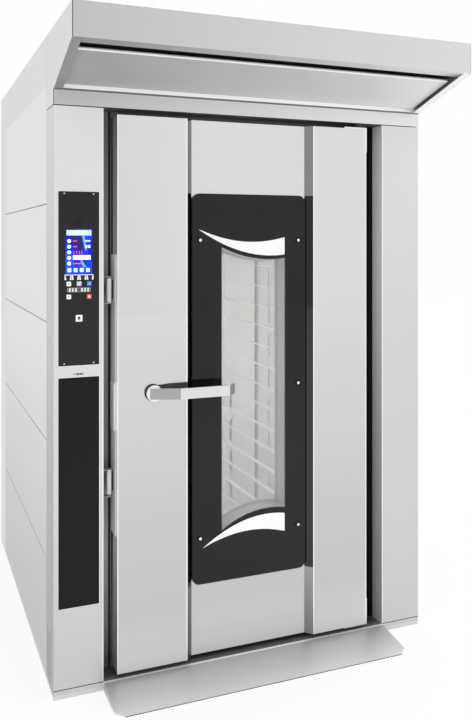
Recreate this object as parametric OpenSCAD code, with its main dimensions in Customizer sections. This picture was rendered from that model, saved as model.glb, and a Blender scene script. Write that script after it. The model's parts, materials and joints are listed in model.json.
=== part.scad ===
// Rotating rack oven with a front exhaust hood.
// Millimetres. Origin on the floor under the middle of the cabinet, front face
// towards -Y, +Z up.

/* [Cabinet] */
// Width of the cabinet
body_w = 1430; // [1400:10:1600]
// Height to the top of the hood and fascias
body_h = 2225; // [2200:5:2400]
// Height of the set-back plinth
plinth_h = 15; // [10:1:25]
// Set-back of the plinth from the cabinet's sides
plinth_inset = 1; // [0:1:60]
// Width of each front column
column_w = 168; // [160:1:180]
// Depth of the front columns and of the header
column_d = 132; // [125:1:150]
// Height of the fascias round the roof
fascia_h = 175; // [165:5:220]
// Folded top edge of the fascias and the hood
fold_w = 22; // [10:1:40]
// Depth of the rear corner posts
rear_post_d = 200; // [120:5:260]
// Stacked panels on each side
side_panels_n = 5; // [3:1:7]
// Seam between two panels
seam = 3; // [2:0.5:5]
// Thickness of the outer sheet
sheet = 2; // [1.5:0.5:3]
// Height of the chamber floor above the ground
floor_z = 30; // [28:1:45]

/* [Hood] */
// Reach of the hood in front of the cabinet
hood_reach = 325; // [280:5:420]
// Height of the hood's front fascia
hood_front_h = 109; // [90:1:150]
// Height of the hood where it meets the header
hood_back_h = 208; // [200:1:240]
// Height of the header's front
header_h = 49; // [40:1:70]
// Inward flange along the hood's lower front edge
hood_flange = 65; // [50:1:80]
// Inward flange along the hood's lower side edges
hood_side_flange = 30; // [20:1:45]
// Width of the suction slot behind the front flange
slot_w = 35; // [25:1:50]
// Length of the filter grille in the slot
grille_w = 130; // [90:5:200]
// Bars of the filter grille
grille_bars = 12; // [6:1:18]
// Offset of the filter grille from the middle
grille_x = -33; // [-120:1:120]

/* [Door] */
// Gap between the left column and the door
latch_gap = 45; // [40:1:60]
// Gap between the door and the right column
hinge_gap = 75; // [60:1:85]
// Gap between the door and the header
door_top_gap = 23; // [20:1:40]
// Height of the door's lower edge above the chamber floor
door_lift = 18; // [16:1:30]
// Depth of the door
door_t = 93; // [85:1:105]
// Distance that the door stands in front of the columns
door_proud = 8; // [2:1:14]
// Width of the recessed middle panel
recess_w = 447; // [420:1:480]
// Depth of the recessed middle panel
recess_t = 27; // [20:1:32]
// Width of the bevelled strips beside the middle panel
bevel_w = 24; // [14:1:30]
// Offset of the middle panel from the middle of the door
recess_shift = 11; // [-10:1:20]
// Width of the seal strip
seal_w = 14; // [10:1:18]
// Overlap of the door over its landing on each side
landing_lap = 37; // [32:1:44]

/* [Window] */
// Height of the glass pane
glass_h = 1388; // [1340:1:1450]
// Height of the glass above the door's lower edge
glass_lift = 249; // [200:1:280]
// Corner radius of the glass pane
glass_r = 28; // [10:1:45]
// Thickness of the glass panes
glass_t = 6; // [4:1:8]
// Gap behind the outer pane
glass_gap = 3; // [2:0.5:5]
// Width of the clear window
window_w = 252; // [220:1:290]
// Offset of the window from the middle of the glass
window_shift = 14; // [0:1:25]
// Lowest point of the window above the lower edge of the glass
window_low = 179; // [160:1:200]
// Highest point of the window above the lower edge of the glass
window_high = 1198; // [1150:1:1220]
// Radius of the arched upper edge of the window
window_top_r = 418; // [380:1:520]
// Radius of the arched lower edge of the window
window_bottom_r = 325; // [300:1:420]
// Offset of the arches' middle from the window's middle
window_arch_x = 63; // [20:1:90]
// Radius of the round pane screws
pane_screw_r = 10; // [7:0.5:13]

/* [Handle] */
// Height of the handle's axis above the ground
handle_z = 994; // [900:1:1100]
// Distance of the handle's axis from the door's left edge
handle_x = 126; // [110:1:150]
// Radius of the round boss
boss_r = 28; // [22:1:34]
// Height of the boss
boss_t = 22; // [10:1:26]
// Height of the flat grip band
band_h = 37; // [28:1:42]
// Thickness of the grip band
band_t = 5; // [4:0.5:7]
// Distance of the band's grip from the door
band_out = 57; // [50:1:80]
// Length of the straight grip
band_grip = 178; // [140:1:220]
// Radius of the spindle
spindle_r = 9; // [7:0.5:12]
// Travel of the latch tongues
latch_travel = 26; // [22:1:28]

/* [Controls] */
// Margin of the black panels to the column's edges
panel_margin = 16; // [10:1:20]
// Thickness of the black panels
panel_t = 3; // [2:0.5:5]
// Lower edge of the control panel above the ground
control_z = 1102; // [1080:1:1140]
// Height of the control panel
control_h = 579; // [560:1:620]
// Lower edge of the plain panel above the ground
plain_z = 298; // [200:1:350]
// Height of the plain panel
plain_h = 764; // [600:1:770]
// Width of the screen
screen_w = 88; // [80:1:100]
// Height of the screen
screen_h = 150; // [130:1:155]
// Lower edge of the screen above the panel's lower edge
screen_low = 304; // [295:1:315]
// Side of a square key
key_size = 15; // [12:0.5:17]
// Side of the lamp key
lamp_key_size = 22; // [14:0.5:24]
// Width of a key below the screen
soft_key_w = 21; // [16:0.5:24]
// Height of a key below the screen
soft_key_h = 16; // [12:0.5:17]
// Distance that a key stands proud of the panel
key_proud = 2; // [1.5:0.5:3]
// Clearance round a key
key_gap = 0.3; // [0.2:0.1:0.6]

/* [Chamber] */
// Thickness of the insulation
insulation_t = 80; // [60:1:90]
// Thickness of the chamber's sheet
liner_t = 2; // [1.5:0.5:3]
// Depth of the chamber from the landing to the rear air wall
chamber_d = 1080; // [1060:5:1110]
// Depth of the plenum behind the rear air wall
plenum_d = 266; // [250:2:400]
// Depth of the landing frame
landing_t = 42; // [38:1:46]
// Width of the slots in the air walls
air_slot_w = 14; // [8:1:24]
// Length of the slots in the air walls
air_slot_h = 110; // [60:5:130]
// Radius of the circulation fan
fan_r = 112; // [90:1:118]
// Height of the circulation fan
fan_h = 120; // [80:5:140]
// Blades of the circulation fan
fan_blades = 12; // [8:1:18]
// Radius of the fan's shaft
fan_shaft_r = 12; // [8:1:16]
// Pairs of heating tubes
heater_n = 8; // [4:1:10]
// Radius of a heating tube
heater_r = 6; // [4:0.5:8]
// Radius of the steam bars
steam_bar_r = 14; // [10:1:16]

/* [Rack] */
// Width of the rack
rack_w = 660; // [600:5:670]
// Depth of the rack
rack_d = 800; // [760:5:820]
// Side of the rack's square tubes
tube_w = 25; // [20:1:30]
// Distance between two tray levels
level_pitch = 88; // [70:1:90]
// Height of the lowest tray level above the rack's base
first_level = 65; // [50:5:90]
// Width of a tray rail
rail_w = 20; // [15:1:28]
// Thickness of a tray rail
rail_t = 3; // [2:0.5:5]
// Height of the rack's wheels above the chamber floor, as lifted
rack_lift = 15; // [8:1:20]
// Radius of a caster wheel
wheel_r = 50; // [40:1:55]
// Width of a caster wheel
wheel_w = 32; // [24:1:36]
// Trail of a swivel caster
caster_trail = 30; // [20:1:36]
// Radius of the rack's drive shaft
drive_r = 20; // [16:1:25]

/* [Roof] */
// Radius of the flue pipe
flue_r = 75; // [50:5:90]
// Radius of the hood's exhaust pipe
exhaust_r = 75; // [50:5:80]
// Radius of the water inlet's thread
water_r = 13.2; // [8:0.1:17]
// Radius of the cable gland's bore
gland_r = 16; // [10:0.5:22]

/* [Ramp] */
// Length of the loading ramp
ramp_d = 180; // [140:5:260]
// Chamfer of the ramp's front corners
ramp_chamfer = 29; // [10:1:50]
// Thickness of the ramp's plate
ramp_t = 3; // [2:0.5:5]

/* [Hidden] */
$fn = 64;

// Clearances: between pieces that move apart, of a running shaft, of a large bore,
// and the amount by which a cutting shape passes the face it cuts
gap = 0.5;
running = 0.05;
loose = 5;
cut = 1;

// Cabinet
body_d = column_d + chamber_d + plenum_d + insulation_t + sheet;
front_y = -body_d / 2;
back_y = body_d / 2;
side_x = body_w / 2;
open_x = side_x - column_w;
column_back_y = front_y + column_d;
roof_z = body_h - fascia_h;
header_top_z = body_h - hood_back_h;
header_z = header_top_z - header_h;
deck_t = 5;
deck_z = roof_z - deck_t;
skin_x = side_x - sheet;
rear_post_y = back_y - rear_post_d;

// Hood
hood_y = front_y - hood_reach;
hood_z = body_h - hood_front_h;
hood_slope = (hood_z - header_top_z) / hood_reach;
slot_y = hood_y + hood_flange;
baffle_y = slot_y + slot_w;
header_lip = 9;
header_lip_h = 19;
header_lip_low = 5;
baffle_roll_r = 6;
baffle_inset = 30;
grille_t = 6;
duct_w = 180;
duct_h = 110;

// Door
door_x0 = -open_x + latch_gap;
door_x1 = open_x - hinge_gap;
door_z0 = floor_z + door_lift;
door_z1 = header_z - door_top_gap;
door_front = front_y - door_proud;
door_back = door_front + door_t;
recess_y = door_front + recess_t;
recess_x = (door_x0 + door_x1) / 2 + recess_shift;
landing_y = column_back_y - landing_t;
landing_x0 = door_x0 + landing_lap;
landing_x1 = door_x1 - landing_lap;
landing_z1 = door_z1 - landing_lap;
hinge_x = door_x1 - 17;
hinge_y = door_front + 33;
hinge_pin_r = 8;
hinge_leaf_t = 6;
hinge_leaf_w = 92;
hinge_leaf_y0 = door_front + 6;
hinge_leaf_y1 = door_back - 12;
seal_inset = 12;

// Window
glass_back = recess_y - glass_gap;
glass_front = glass_back - glass_t;
glass_z0 = door_z0 + glass_lift;
window_x = recess_x + window_shift;
window_z0 = glass_z0 + window_low;
window_z1 = glass_z0 + window_high;
arch_x = window_x + window_arch_x;
arch_reach = window_w / 2 + window_arch_x;
top_arch_z = window_z1 + sqrt(pow(window_top_r, 2) - pow(arch_reach, 2));
bottom_arch_z = window_z0 - sqrt(pow(window_bottom_r, 2) - pow(arch_reach, 2));
reveal_t = 2;
inner_pane_y = door_back - sheet - glass_t;
screw_inset = 30;
screw_rows = [163, 691, 1222];
screw_shank_r = 4;
screw_head_t = 4;

// Handle and latch
handle_axis_x = door_x0 + handle_x;
boss_front = door_front - boss_t;
grip_from = 80;
band_front = door_front - band_out;
bolt_y0 = front_y + 43;
bolt_y1 = bolt_y0 + 14;
bolt_z = [690, 1349];
bolt_half = 30;
bolt_tip = 25;
bar_w = 20;
bar_x = door_x0 + 12;
keeper_half = 44;
keeper_r = 8;
keeper_y = bolt_y0 - keeper_r - 1;
keeper_x = door_x0 - 19;
keeper_plate_t = 4;
edge_z0 = door_z0 + 462;
edge_z1 = door_z0 + 1422;
edge_t = 2;
case_z0 = handle_z - 125;
case_z1 = handle_z + 38;
case_t = 6;

// Controls
panel_front = front_y - panel_t;
panel_x0 = -side_x + panel_margin;
panel_x1 = -open_x - panel_margin;
panel_x = (panel_x0 + panel_x1) / 2;
screen_z = control_z + screen_low;
key_flange = 1.5;
key_flange_t = 1;
key_pitch_x = 34;
soft_key_z = screen_z - 2 - soft_key_h;
soft_key_pitch = soft_key_w + 2 * key_flange + gap;
key_row_1 = soft_key_z - 6.5 - key_size / 2;
key_row_2 = key_row_1 - 43;
lamp_key_z = key_row_2 - 72;
buzzer_r = 14;
buzzer_z = screen_z + screen_h + buzzer_r + 9;

// Chamber
liner_x = side_x - sheet - insulation_t;
duct_x = liner_x - liner_t;
air_x = open_x;
ceiling_z = deck_z - insulation_t - liner_t;
air_rear_y = column_back_y + chamber_d;
liner_back_y = air_rear_y + plenum_d;
rack_y = column_back_y + chamber_d / 2;
plenum_y = (air_rear_y + liner_t + liner_back_y - liner_t) / 2;
fan_z1 = ceiling_z - 20;
fan_z0 = fan_z1 - fan_h;
fan_plate_z = fan_z0 - 14;
fan_eye_r = fan_r * 0.62;

// Rack, as lifted by the hook of its drive
wheel_z = floor_z + rack_lift + wheel_r;
fork_t = 4;
fork_top_z = wheel_z + wheel_r + 8;
caster_plate_t = 6;
swivel_h = 12;
swivel_r = 24;
rack_z0 = fork_top_z + caster_plate_t + swivel_h;
rails_z0 = rack_z0 + tube_w + first_level;
caster_inset_x = 70;
caster_inset_y = 60;
caster_x = rack_w / 2 - caster_inset_x;
caster_y = rack_d / 2 - caster_inset_y;
axle_r = 6;
king_neck_r = 14;
king_neck_h = 30;
king_head_r = 34;
king_head_t = 12;
hook_t = 10;
hook_w = 110;
hook_gap_h = king_head_t + 14;
hook_clear = 20;
top_space = 30;
rack_head = top_space + tube_w + king_neck_h + hook_gap_h + hook_t + hook_clear;
levels = floor((ceiling_z - rack_head - rails_z0) / level_pitch);
rack_z1 = rails_z0 + levels * level_pitch + top_space;
hook_z = rack_z1 + tube_w + king_neck_h;

// Outline of a strip of sheet of thickness t to the left of a path
function unit(a, b) = (b - a) / norm(b - a);
function left_of(a, b) = [-unit(a, b)[1], unit(a, b)[0]];
function miter(a, b, c) = (left_of(a, b) + left_of(b, c))
    / (1 + left_of(a, b) * left_of(b, c));
function path_shift(p, i) = i == 0 ? left_of(p[0], p[1])
    : i == len(p) - 1 ? left_of(p[i - 1], p[i])
    : miter(p[i - 1], p[i], p[i + 1]);
function strip(p, t) = concat(p,
    [for (i = [len(p) - 1:-1:0]) p[i] + t * path_shift(p, i)]);

// A profile drawn in Y and Z, extruded along X
module along_x(x0, x1) {
    translate([x0, 0, 0])
        rotate([90, 0, 90])
            linear_extrude(x1 - x0)
                children();
}

// A profile drawn in X and Z, extruded along Y
module along_y(y0, y1) {
    translate([0, y1, 0])
        rotate([90, 0, 0])
            linear_extrude(y1 - y0)
                children();
}

// A profile drawn in X and Y, extruded along Z
module along_z(z0, z1) {
    translate([0, 0, z0])
        linear_extrude(z1 - z0)
            children();
}

// A block between two corners
module block(a, b) {
    translate(a)
        cube(b - a);
}

// A cylinder along Y between two depths
module rod_y(x, z, y0, y1, r) {
    translate([x, y1, z])
        rotate([90, 0, 0])
            cylinder(h = y1 - y0, r = r);
}

// A cylinder along X between two places
module rod_x(y, z, x0, x1, r) {
    translate([x0, y, z])
        rotate([0, 90, 0])
            cylinder(h = x1 - x0, r = r);
}

// A cylinder along Z between two heights
module rod_z(x, y, z0, z1, r) {
    translate([x, y, z0])
        cylinder(h = z1 - z0, r = r);
}

// A rectangle between two corners, with round corners
module round_rect(a, b, r) {
    translate([a[0] + r, a[1]])
        square([b[0] - a[0] - 2 * r, b[1] - a[1]]);
    translate([a[0], a[1] + r])
        square([b[0] - a[0], b[1] - a[1] - 2 * r]);
    for (x = [a[0] + r, b[0] - r], y = [a[1] + r, b[1] - r])
        translate([x, y])
            circle(r);
}

module rect(a, b) {
    translate(a)
        square(b - a);
}

// ---- Cabinet ----

module base_frame() {
    color("dimgray") {
        block([-side_x + plinth_inset, front_y + plinth_inset, 0],
            [side_x - plinth_inset, back_y - plinth_inset, plinth_h]);
        block([-open_x + gap, front_y, 0], [open_x - gap, landing_y - gap, floor_z]);
    }
}

// Sloped plate with a lip behind and ribs below, its front corners cut off
module ramp() {
    top = [[front_y - ramp_d, ramp_t], [front_y - gap, floor_z]];
    color("gainsboro")
        intersection() {
            union() {
                along_x(-open_x, open_x)
                    polygon([[front_y - ramp_d, 0], top[0], top[1],
                        [front_y - gap, floor_z - ramp_t], [front_y - ramp_d + 12, 0]]);
                for (x = [-open_x, -open_x / 3, open_x / 3, open_x - ramp_t])
                    along_x(x, x + ramp_t)
                        polygon([[front_y - ramp_d, 0], top[0], top[1], [front_y - gap, 0]]);
            }
            along_z(-cut, floor_z + cut)
                polygon([[-open_x, front_y], [-open_x, front_y - ramp_d + ramp_chamfer],
                    [-open_x + ramp_chamfer, front_y - ramp_d],
                    [open_x - ramp_chamfer, front_y - ramp_d],
                    [open_x, front_y - ramp_d + ramp_chamfer], [open_x, front_y]]);
        }
}

// Hollow column of folded sheet
module column(s) {
    x0 = s < 0 ? -side_x : open_x;
    x1 = x0 + column_w;
    along_z(plinth_h, header_z - seam)
        difference() {
            round_rect([x0, front_y], [x1, column_back_y], sheet);
            rect([x0 + sheet, front_y + sheet], [x1 - sheet, column_back_y - sheet]);
        }
}

module column_left() {
    vent_rows = 12;
    vent_cols = 6;
    vent_pitch = 14;
    vent_r = 4;
    vent_lift = 20;
    vent_inset = 55;
    color("silver")
        difference() {
            column(-1);
            // room for the keys behind the control panel
            block([panel_x0 + 10, front_y - cut, control_z + 10],
                [panel_x1 - 10, front_y + sheet + cut, control_z + control_h - 90]);
            // vent in the column's outer side
            for (i = [0:vent_rows - 1], j = [0:vent_cols - 1])
                rod_x(front_y + vent_inset + j * vent_pitch,
                    plinth_h + vent_lift + i * vent_pitch, -side_x - cut, -skin_x + cut,
                    vent_r, $fn = 16);
        }
}

module column_right() {
    color("silver") column(1);
}

// Frame that the door closes against
module door_landing() {
    strip_w = 15;
    strip_d = 21;
    color("gray")
        along_y(landing_y, column_back_y)
            difference() {
                rect([-open_x + gap, floor_z], [open_x - gap, header_z]);
                rect([landing_x0, floor_z - cut], [landing_x1, landing_z1]);
            }
    // strip along the hinge side
    color("dimgray")
        block([open_x - gap - strip_w, landing_y - strip_d, floor_z + gap],
            [open_x - gap, landing_y + gap, header_z]);
}

module side_panels() {
    h = (roof_z - plinth_h - seam * (side_panels_n - 1)) / side_panels_n;
    for (s = [-1, 1], i = [0:side_panels_n - 1])
        color([0.80, 0.80, 0.81])
            along_z(plinth_h + i * (h + seam), plinth_h + i * (h + seam) + h)
                rect([s < 0 ? -side_x : skin_x, column_back_y + seam],
                    [s < 0 ? -skin_x : side_x, rear_post_y - seam]);
}

// Corner posts and stacked panels of the back
module rear_panels() {
    post_w = 90;
    h = (roof_z - plinth_h - seam * (side_panels_n - 1)) / side_panels_n;
    color([0.76, 0.76, 0.77]) {
        for (s = [-1, 1])
            along_z(plinth_h, roof_z)
                scale([s, 1])
                    polygon([[side_x, rear_post_y], [side_x, back_y],
                        [side_x - post_w, back_y], [side_x - post_w, back_y - sheet],
                        [skin_x, back_y - sheet], [skin_x, rear_post_y]]);
        for (i = [0:side_panels_n - 1])
            block([-side_x + post_w + seam, back_y - sheet, plinth_h + i * (h + seam)],
                [side_x - post_w - seam, back_y, plinth_h + i * (h + seam) + h]);
    }
}

// Upright boards with a folded top edge round the roof
module fascias() {
    color([0.82, 0.82, 0.83]) {
        for (s = [-1, 1])
            translate([0, seam, 0])
                along_y(column_back_y, back_y - seam - sheet)
                    scale([s, 1])
                        polygon([[skin_x, roof_z], [side_x, roof_z], [side_x, body_h],
                            [side_x - fold_w, body_h], [side_x - fold_w, body_h - sheet],
                            [skin_x, body_h - sheet]]);
        along_x(-side_x, side_x)
            polygon([[back_y, roof_z], [back_y, body_h], [back_y - sheet, body_h],
                [back_y - sheet, roof_z]]);
    }
}

// Box over the door with a folded lip along its upper edge
module header() {
    lip_top = header_top_z + header_lip_h;
    color("silver")
        along_x(-skin_x, skin_x)
            difference() {
                polygon([[front_y, header_z], [column_back_y, header_z],
                    [column_back_y, deck_z], [front_y, deck_z],
                    [front_y, lip_top], [front_y - header_lip, lip_top],
                    [front_y - header_lip, header_top_z + header_lip_low],
                    [front_y, header_top_z]]);
                rect([front_y + sheet, header_z + sheet],
                    [column_back_y - sheet, deck_z - sheet]);
            }
}

module roof_deck() {
    color("lightgray")
        along_z(deck_z, roof_z)
            difference() {
                rect([-skin_x, front_y + sheet], [skin_x, back_y - sheet]);
                roof_holes(0);
            }
}

// Holes that the shafts and the flue need in the deck, the insulation and the ceiling
module roof_holes(grow) {
    translate([0, rack_y])
        circle(drive_r + loose + grow);
    translate([0, plenum_y])
        circle(fan_shaft_r + loose + grow);
    translate(flue_place)
        circle(flue_r - sheet);
}

// ---- Hood ----

// Height of the hood's lower edge at a depth
function hood_edge(y) = header_top_z + (front_y - y) * hood_slope;

module hood_side(s) {
    outer = [[hood_y, body_h], [hood_y, hood_z], [front_y, header_top_z],
        [front_y, header_z], [column_back_y, header_z], [column_back_y, body_h]];
    end_y = front_y - header_lip - gap;
    flange = [[hood_y + sheet, hood_z], [end_y, hood_edge(end_y)],
        [end_y, hood_edge(end_y) + sheet], [hood_y + sheet, hood_z + sheet]];
    scale([s, 1, 1]) {
        along_x(skin_x, side_x)
            polygon(outer);
        along_x(side_x - hood_side_flange, side_x)
            polygon(flange);
    }
}

module hood_shell() {
    top_x = skin_x - gap;
    color([0.83, 0.83, 0.84]) {
        hood_side(-1);
        hood_side(1);
        // front fascia with its lower flange and folded top edge
        along_x(-top_x, top_x)
            polygon(strip([[slot_y, hood_z], [hood_y, hood_z], [hood_y, body_h],
                [front_y, body_h]], -sheet));
        // rear wall with the opening of the exhaust duct
        along_y(column_back_y - sheet, column_back_y)
            difference() {
                rect([-top_x, roof_z], [top_x, body_h - sheet - gap]);
                rect([extractor_x - duct_w / 2, roof_z + 20],
                    [extractor_x + duct_w / 2, roof_z + 20 + duct_h]);
            }
        // top over the header
        block([-top_x, front_y + gap, body_h - sheet], [top_x, column_back_y, body_h]);
    }
}

// Sloped panel below the hood's plenum, its front edge rolled and its rear edge on the header
module hood_baffle() {
    x1 = skin_x - baffle_inset;
    seat_y = front_y - header_lip - 3;
    seat_z = header_top_z + header_lip_h + gap;
    z1 = seat_z + (seat_y - baffle_y) * hood_slope;
    hanger_y = 40;
    hanger_w = 26;
    color("silver") {
        along_x(-x1, x1)
            polygon(strip([[front_y - 2, seat_z], [seat_y, seat_z], [baffle_y, z1]], -sheet));
        rod_x(baffle_y, z1 + baffle_roll_r - sheet / 2, -x1, x1, baffle_roll_r);
        // hangers up to the hood's top
        for (x = [-x1, -x1 / 3, x1 / 3, x1 - sheet])
            block([x, baffle_y + hanger_y, z1 - hanger_y * hood_slope],
                [x + sheet, baffle_y + hanger_y + hanger_w, body_h - sheet]);
    }
}

// Small filter grille in the suction slot
module hood_grille() {
    z0 = hood_z + sheet;
    pitch = grille_w / grille_bars;
    color("black")
        along_z(z0, z0 + grille_t)
            difference() {
                rect([grille_x - grille_w / 2 - 6, slot_y - 12],
                    [grille_x + grille_w / 2 + 6, baffle_y - baffle_roll_r - 1]);
                for (i = [0:grille_bars - 1])
                    rect([grille_x - grille_w / 2 + (i + 0.25) * pitch, slot_y + 3],
                        [grille_x - grille_w / 2 + (i + 0.75) * pitch,
                            baffle_y - baffle_roll_r - 5]);
            }
}

// ---- Chamber ----

// Sheets that line the chamber: sides, back, ceiling and floor
module chamber_liner() {
    color("gainsboro") {
        for (s = [-1, 1])
            scale([s, 1, 1])
                block([duct_x, column_back_y, floor_z],
                    [liner_x, liner_back_y - liner_t - gap, ceiling_z]);
        block([-liner_x, liner_back_y - liner_t, floor_z], [liner_x, liner_back_y, ceiling_z]);
        along_z(ceiling_z + gap, ceiling_z + gap + liner_t)
            difference() {
                rect([-liner_x, column_back_y], [liner_x, liner_back_y]);
                roof_holes(0);
            }
        block([-liner_x, column_back_y, plinth_h + gap],
            [liner_x, liner_back_y, floor_z - gap]);
    }
}

// Slabs of mineral wool between the liner and the outer skins
module insulation() {
    wool = gap + liner_t + gap;
    color("khaki") {
        for (s = [-1, 1])
            scale([s, 1, 1])
                block([liner_x + gap, column_back_y + gap, plinth_h + gap],
                    [skin_x - gap, back_y - sheet - gap, deck_z - gap]);
        block([-liner_x, liner_back_y + gap, plinth_h + gap],
            [liner_x, back_y - sheet - gap, deck_z - gap]);
        along_z(ceiling_z + wool, deck_z - gap)
            difference() {
                rect([-liner_x, column_back_y + gap], [liner_x, liner_back_y]);
                roof_holes(liner_t);
            }
    }
}

// Upright slot from its lower end
module air_slot(x, z) {
    rect([x - air_slot_w / 2, z], [x + air_slot_w / 2, z + air_slot_h]);
}

// Slotted air walls left and right, the slotted rear wall and the plate below the fan
module air_walls() {
    side_cols = 5;
    side_rows = 11;
    rear_cols = 9;
    top_z = ceiling_z - gap;
    row_pitch = (top_z - floor_z - 120) / side_rows;
    col_pitch = (chamber_d - 120) / side_cols;
    color("gainsboro") {
        for (s = [-1, 1])
            scale([s, 1, 1])
                along_x(air_x, air_x + liner_t)
                    difference() {
                        rect([column_back_y + gap, floor_z], [air_rear_y - gap, top_z]);
                        for (i = [0:side_cols - 1], j = [0:side_rows - 1])
                            air_slot(column_back_y + 60 + (i + 0.5) * col_pitch,
                                floor_z + 75 + j * row_pitch);
                    }
        along_y(air_rear_y, air_rear_y + liner_t)
            difference() {
                rect([-duct_x + 95, floor_z], [duct_x - 95, top_z]);
                for (i = [0:rear_cols - 1], j = [0:3])
                    air_slot((i - (rear_cols - 1) / 2) * 100, floor_z + 120 + j * row_pitch);
            }
        along_z(fan_plate_z, fan_plate_z + liner_t)
            difference() {
                rect([-air_x, air_rear_y + liner_t + gap],
                    [air_x, liner_back_y - liner_t - gap]);
                translate([0, plenum_y])
                    circle(fan_eye_r);
            }
    }
}

// Hairpin heating tubes on two carriers fixed to the rear wall
module heater_bank() {
    leg = 26;
    low_room = 420;
    top_room = 120;
    z0 = floor_z + low_room;
    z1 = fan_plate_z - top_room;
    pitch = 2 * (air_x - 90) / heater_n;
    wall = liner_back_y - liner_t;
    color("dimgray") {
        for (i = [0:heater_n - 1])
            translate([(i - (heater_n - 1) / 2) * pitch, plenum_y, 0]) {
                for (s = [-1, 1])
                    translate([s * leg, 0, z0])
                        cylinder(h = z1 - z0, r = heater_r);
                translate([0, 0, z0])
                    rotate([-90, 0, 0])
                        rotate_extrude(angle = 180)
                            translate([leg, 0])
                                circle(heater_r);
            }
        for (z = [z0 + 60, z1 - 30]) {
            block([-air_x + 60, plenum_y - 12, z], [air_x - 60, plenum_y + 12, z + 5]);
            for (s = [-1, 1])
                block([s * (air_x - 100) - 15, plenum_y, z],
                    [s * (air_x - 100) + 15, wall, z + 5]);
        }
    }
}

// Bars of iron between two plates, over which water turns to steam
module steam_unit() {
    rows = 4;
    cols = 3;
    inset = 70;
    length = 420;
    lift = 60;
    pitch = 3 * steam_bar_r;
    x0 = -air_x + inset;
    x1 = x0 + length;
    y0 = plenum_y - (cols - 1) / 2 * pitch;
    color("darkslategray") {
        for (i = [0:cols - 1], j = [0:rows - 1])
            rod_x(y0 + i * pitch, floor_z + lift + j * pitch, x0 + 3, x1 - 3, steam_bar_r);
        for (x = [x0, x1 - 6])
            block([x, y0 - pitch * 0.7, floor_z],
                [x + 6, y0 + (cols - 0.3) * pitch, floor_z + lift + rows * pitch]);
    }
}

// Upright lamp with a half-round cover beside the doorway
module chamber_lamp() {
    r = 18;
    inset = 34;
    end = 470;
    x = -open_x + inset;
    z0 = floor_z + end;
    z1 = header_z - end;
    color("white") {
        block([x - r - 6, column_back_y, z0], [x + r + 6, column_back_y + 6, z1]);
        difference() {
            rod_z(x, column_back_y + 6, z0 + 8, z1 - 8, r);
            block([x - r - cut, column_back_y - r - cut, z0],
                [x + r + cut, column_back_y + 6 - cut, z1]);
        }
    }
}

// ---- Drives and roof ----

flue_inset = 150;
flue_back = 110;
flue_place = [-open_x + flue_inset, air_rear_y - flue_back];
service_inset = 110;
service_back = 120;
service_place = [open_x - service_inset, back_y - service_back];
extractor_x = 260;
extractor_back = 112;
extractor_y = column_back_y + extractor_back;
gearbox_z = roof_z + 32;
gearbox_h = 80;
shaft_top = 18;
fan_bore_h = 60;

// Round motor along Z with ribs and a terminal box
module motor(r, h) {
    ribs = 18;
    rib = 4;
    cylinder(h = h, r = r - rib);
    cylinder(h = h * 0.12, r = r);
    translate([0, 0, h * 0.78])
        cylinder(h = h * 0.22, r = r);
    for (i = [0:ribs - 1])
        rotate(i * 360 / ribs)
            translate([0, -1.5, 0])
                cube([r - 0.5, 3, h * 0.8]);
    translate([-r * 0.45, -r - 14, h * 0.2])
        cube([r * 0.9, 24, h * 0.45]);
}

// Gearbox with its bearing foot on the roof and a motor lying behind it
module rack_gearmotor() {
    foot_r = 80;
    box = 130;
    box_h = gearbox_h;
    z1 = gearbox_z;
    color("steelblue")
        difference() {
            union() {
                rod_z(0, rack_y, roof_z, roof_z + 10, foot_r);
                rod_z(0, rack_y, roof_z, z1, foot_r * 0.62);
                along_z(z1, z1 + box_h)
                    round_rect([-box / 2, rack_y - box / 2], [box / 2, rack_y + box / 2], 14);
                rod_y(0, z1 + box_h / 2, rack_y + box / 2 - cut, rack_y + box / 2 + 12,
                    box_h / 2 - 2);
                translate([0, rack_y + box / 2 + 12, z1 + box_h / 2])
                    rotate([-90, 90, 0])
                        motor(box_h / 2 + 8, 170);
            }
            rod_z(0, rack_y, roof_z - cut, z1 + box_h + cut, drive_r + running);
            for (i = [0:3])
                rotate_about([0, rack_y], 45 + i * 90)
                    rod_z(0, foot_r * 0.82 + rack_y, roof_z - cut, roof_z + 10 + cut, 4.5);
        }
}

module rotate_about(p, a) {
    translate([p[0], p[1], 0])
        rotate(a)
            translate([-p[0], -p[1], 0])
                children();
}

// Motor of the circulation fan, upright on the roof
module fan_motor() {
    foot_t = 8;
    r = 62;
    color("steelblue")
        difference() {
            union() {
                along_z(roof_z, roof_z + foot_t)
                    round_rect([-r - 16, plenum_y - r - 16], [r + 16, plenum_y + r + 16], 12);
                translate([0, plenum_y, roof_z + foot_t])
                    motor(r, fascia_h - foot_t - 28);
            }
            rod_z(0, plenum_y, roof_z - cut, roof_z + fan_bore_h, fan_shaft_r + running);
        }
}

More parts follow.
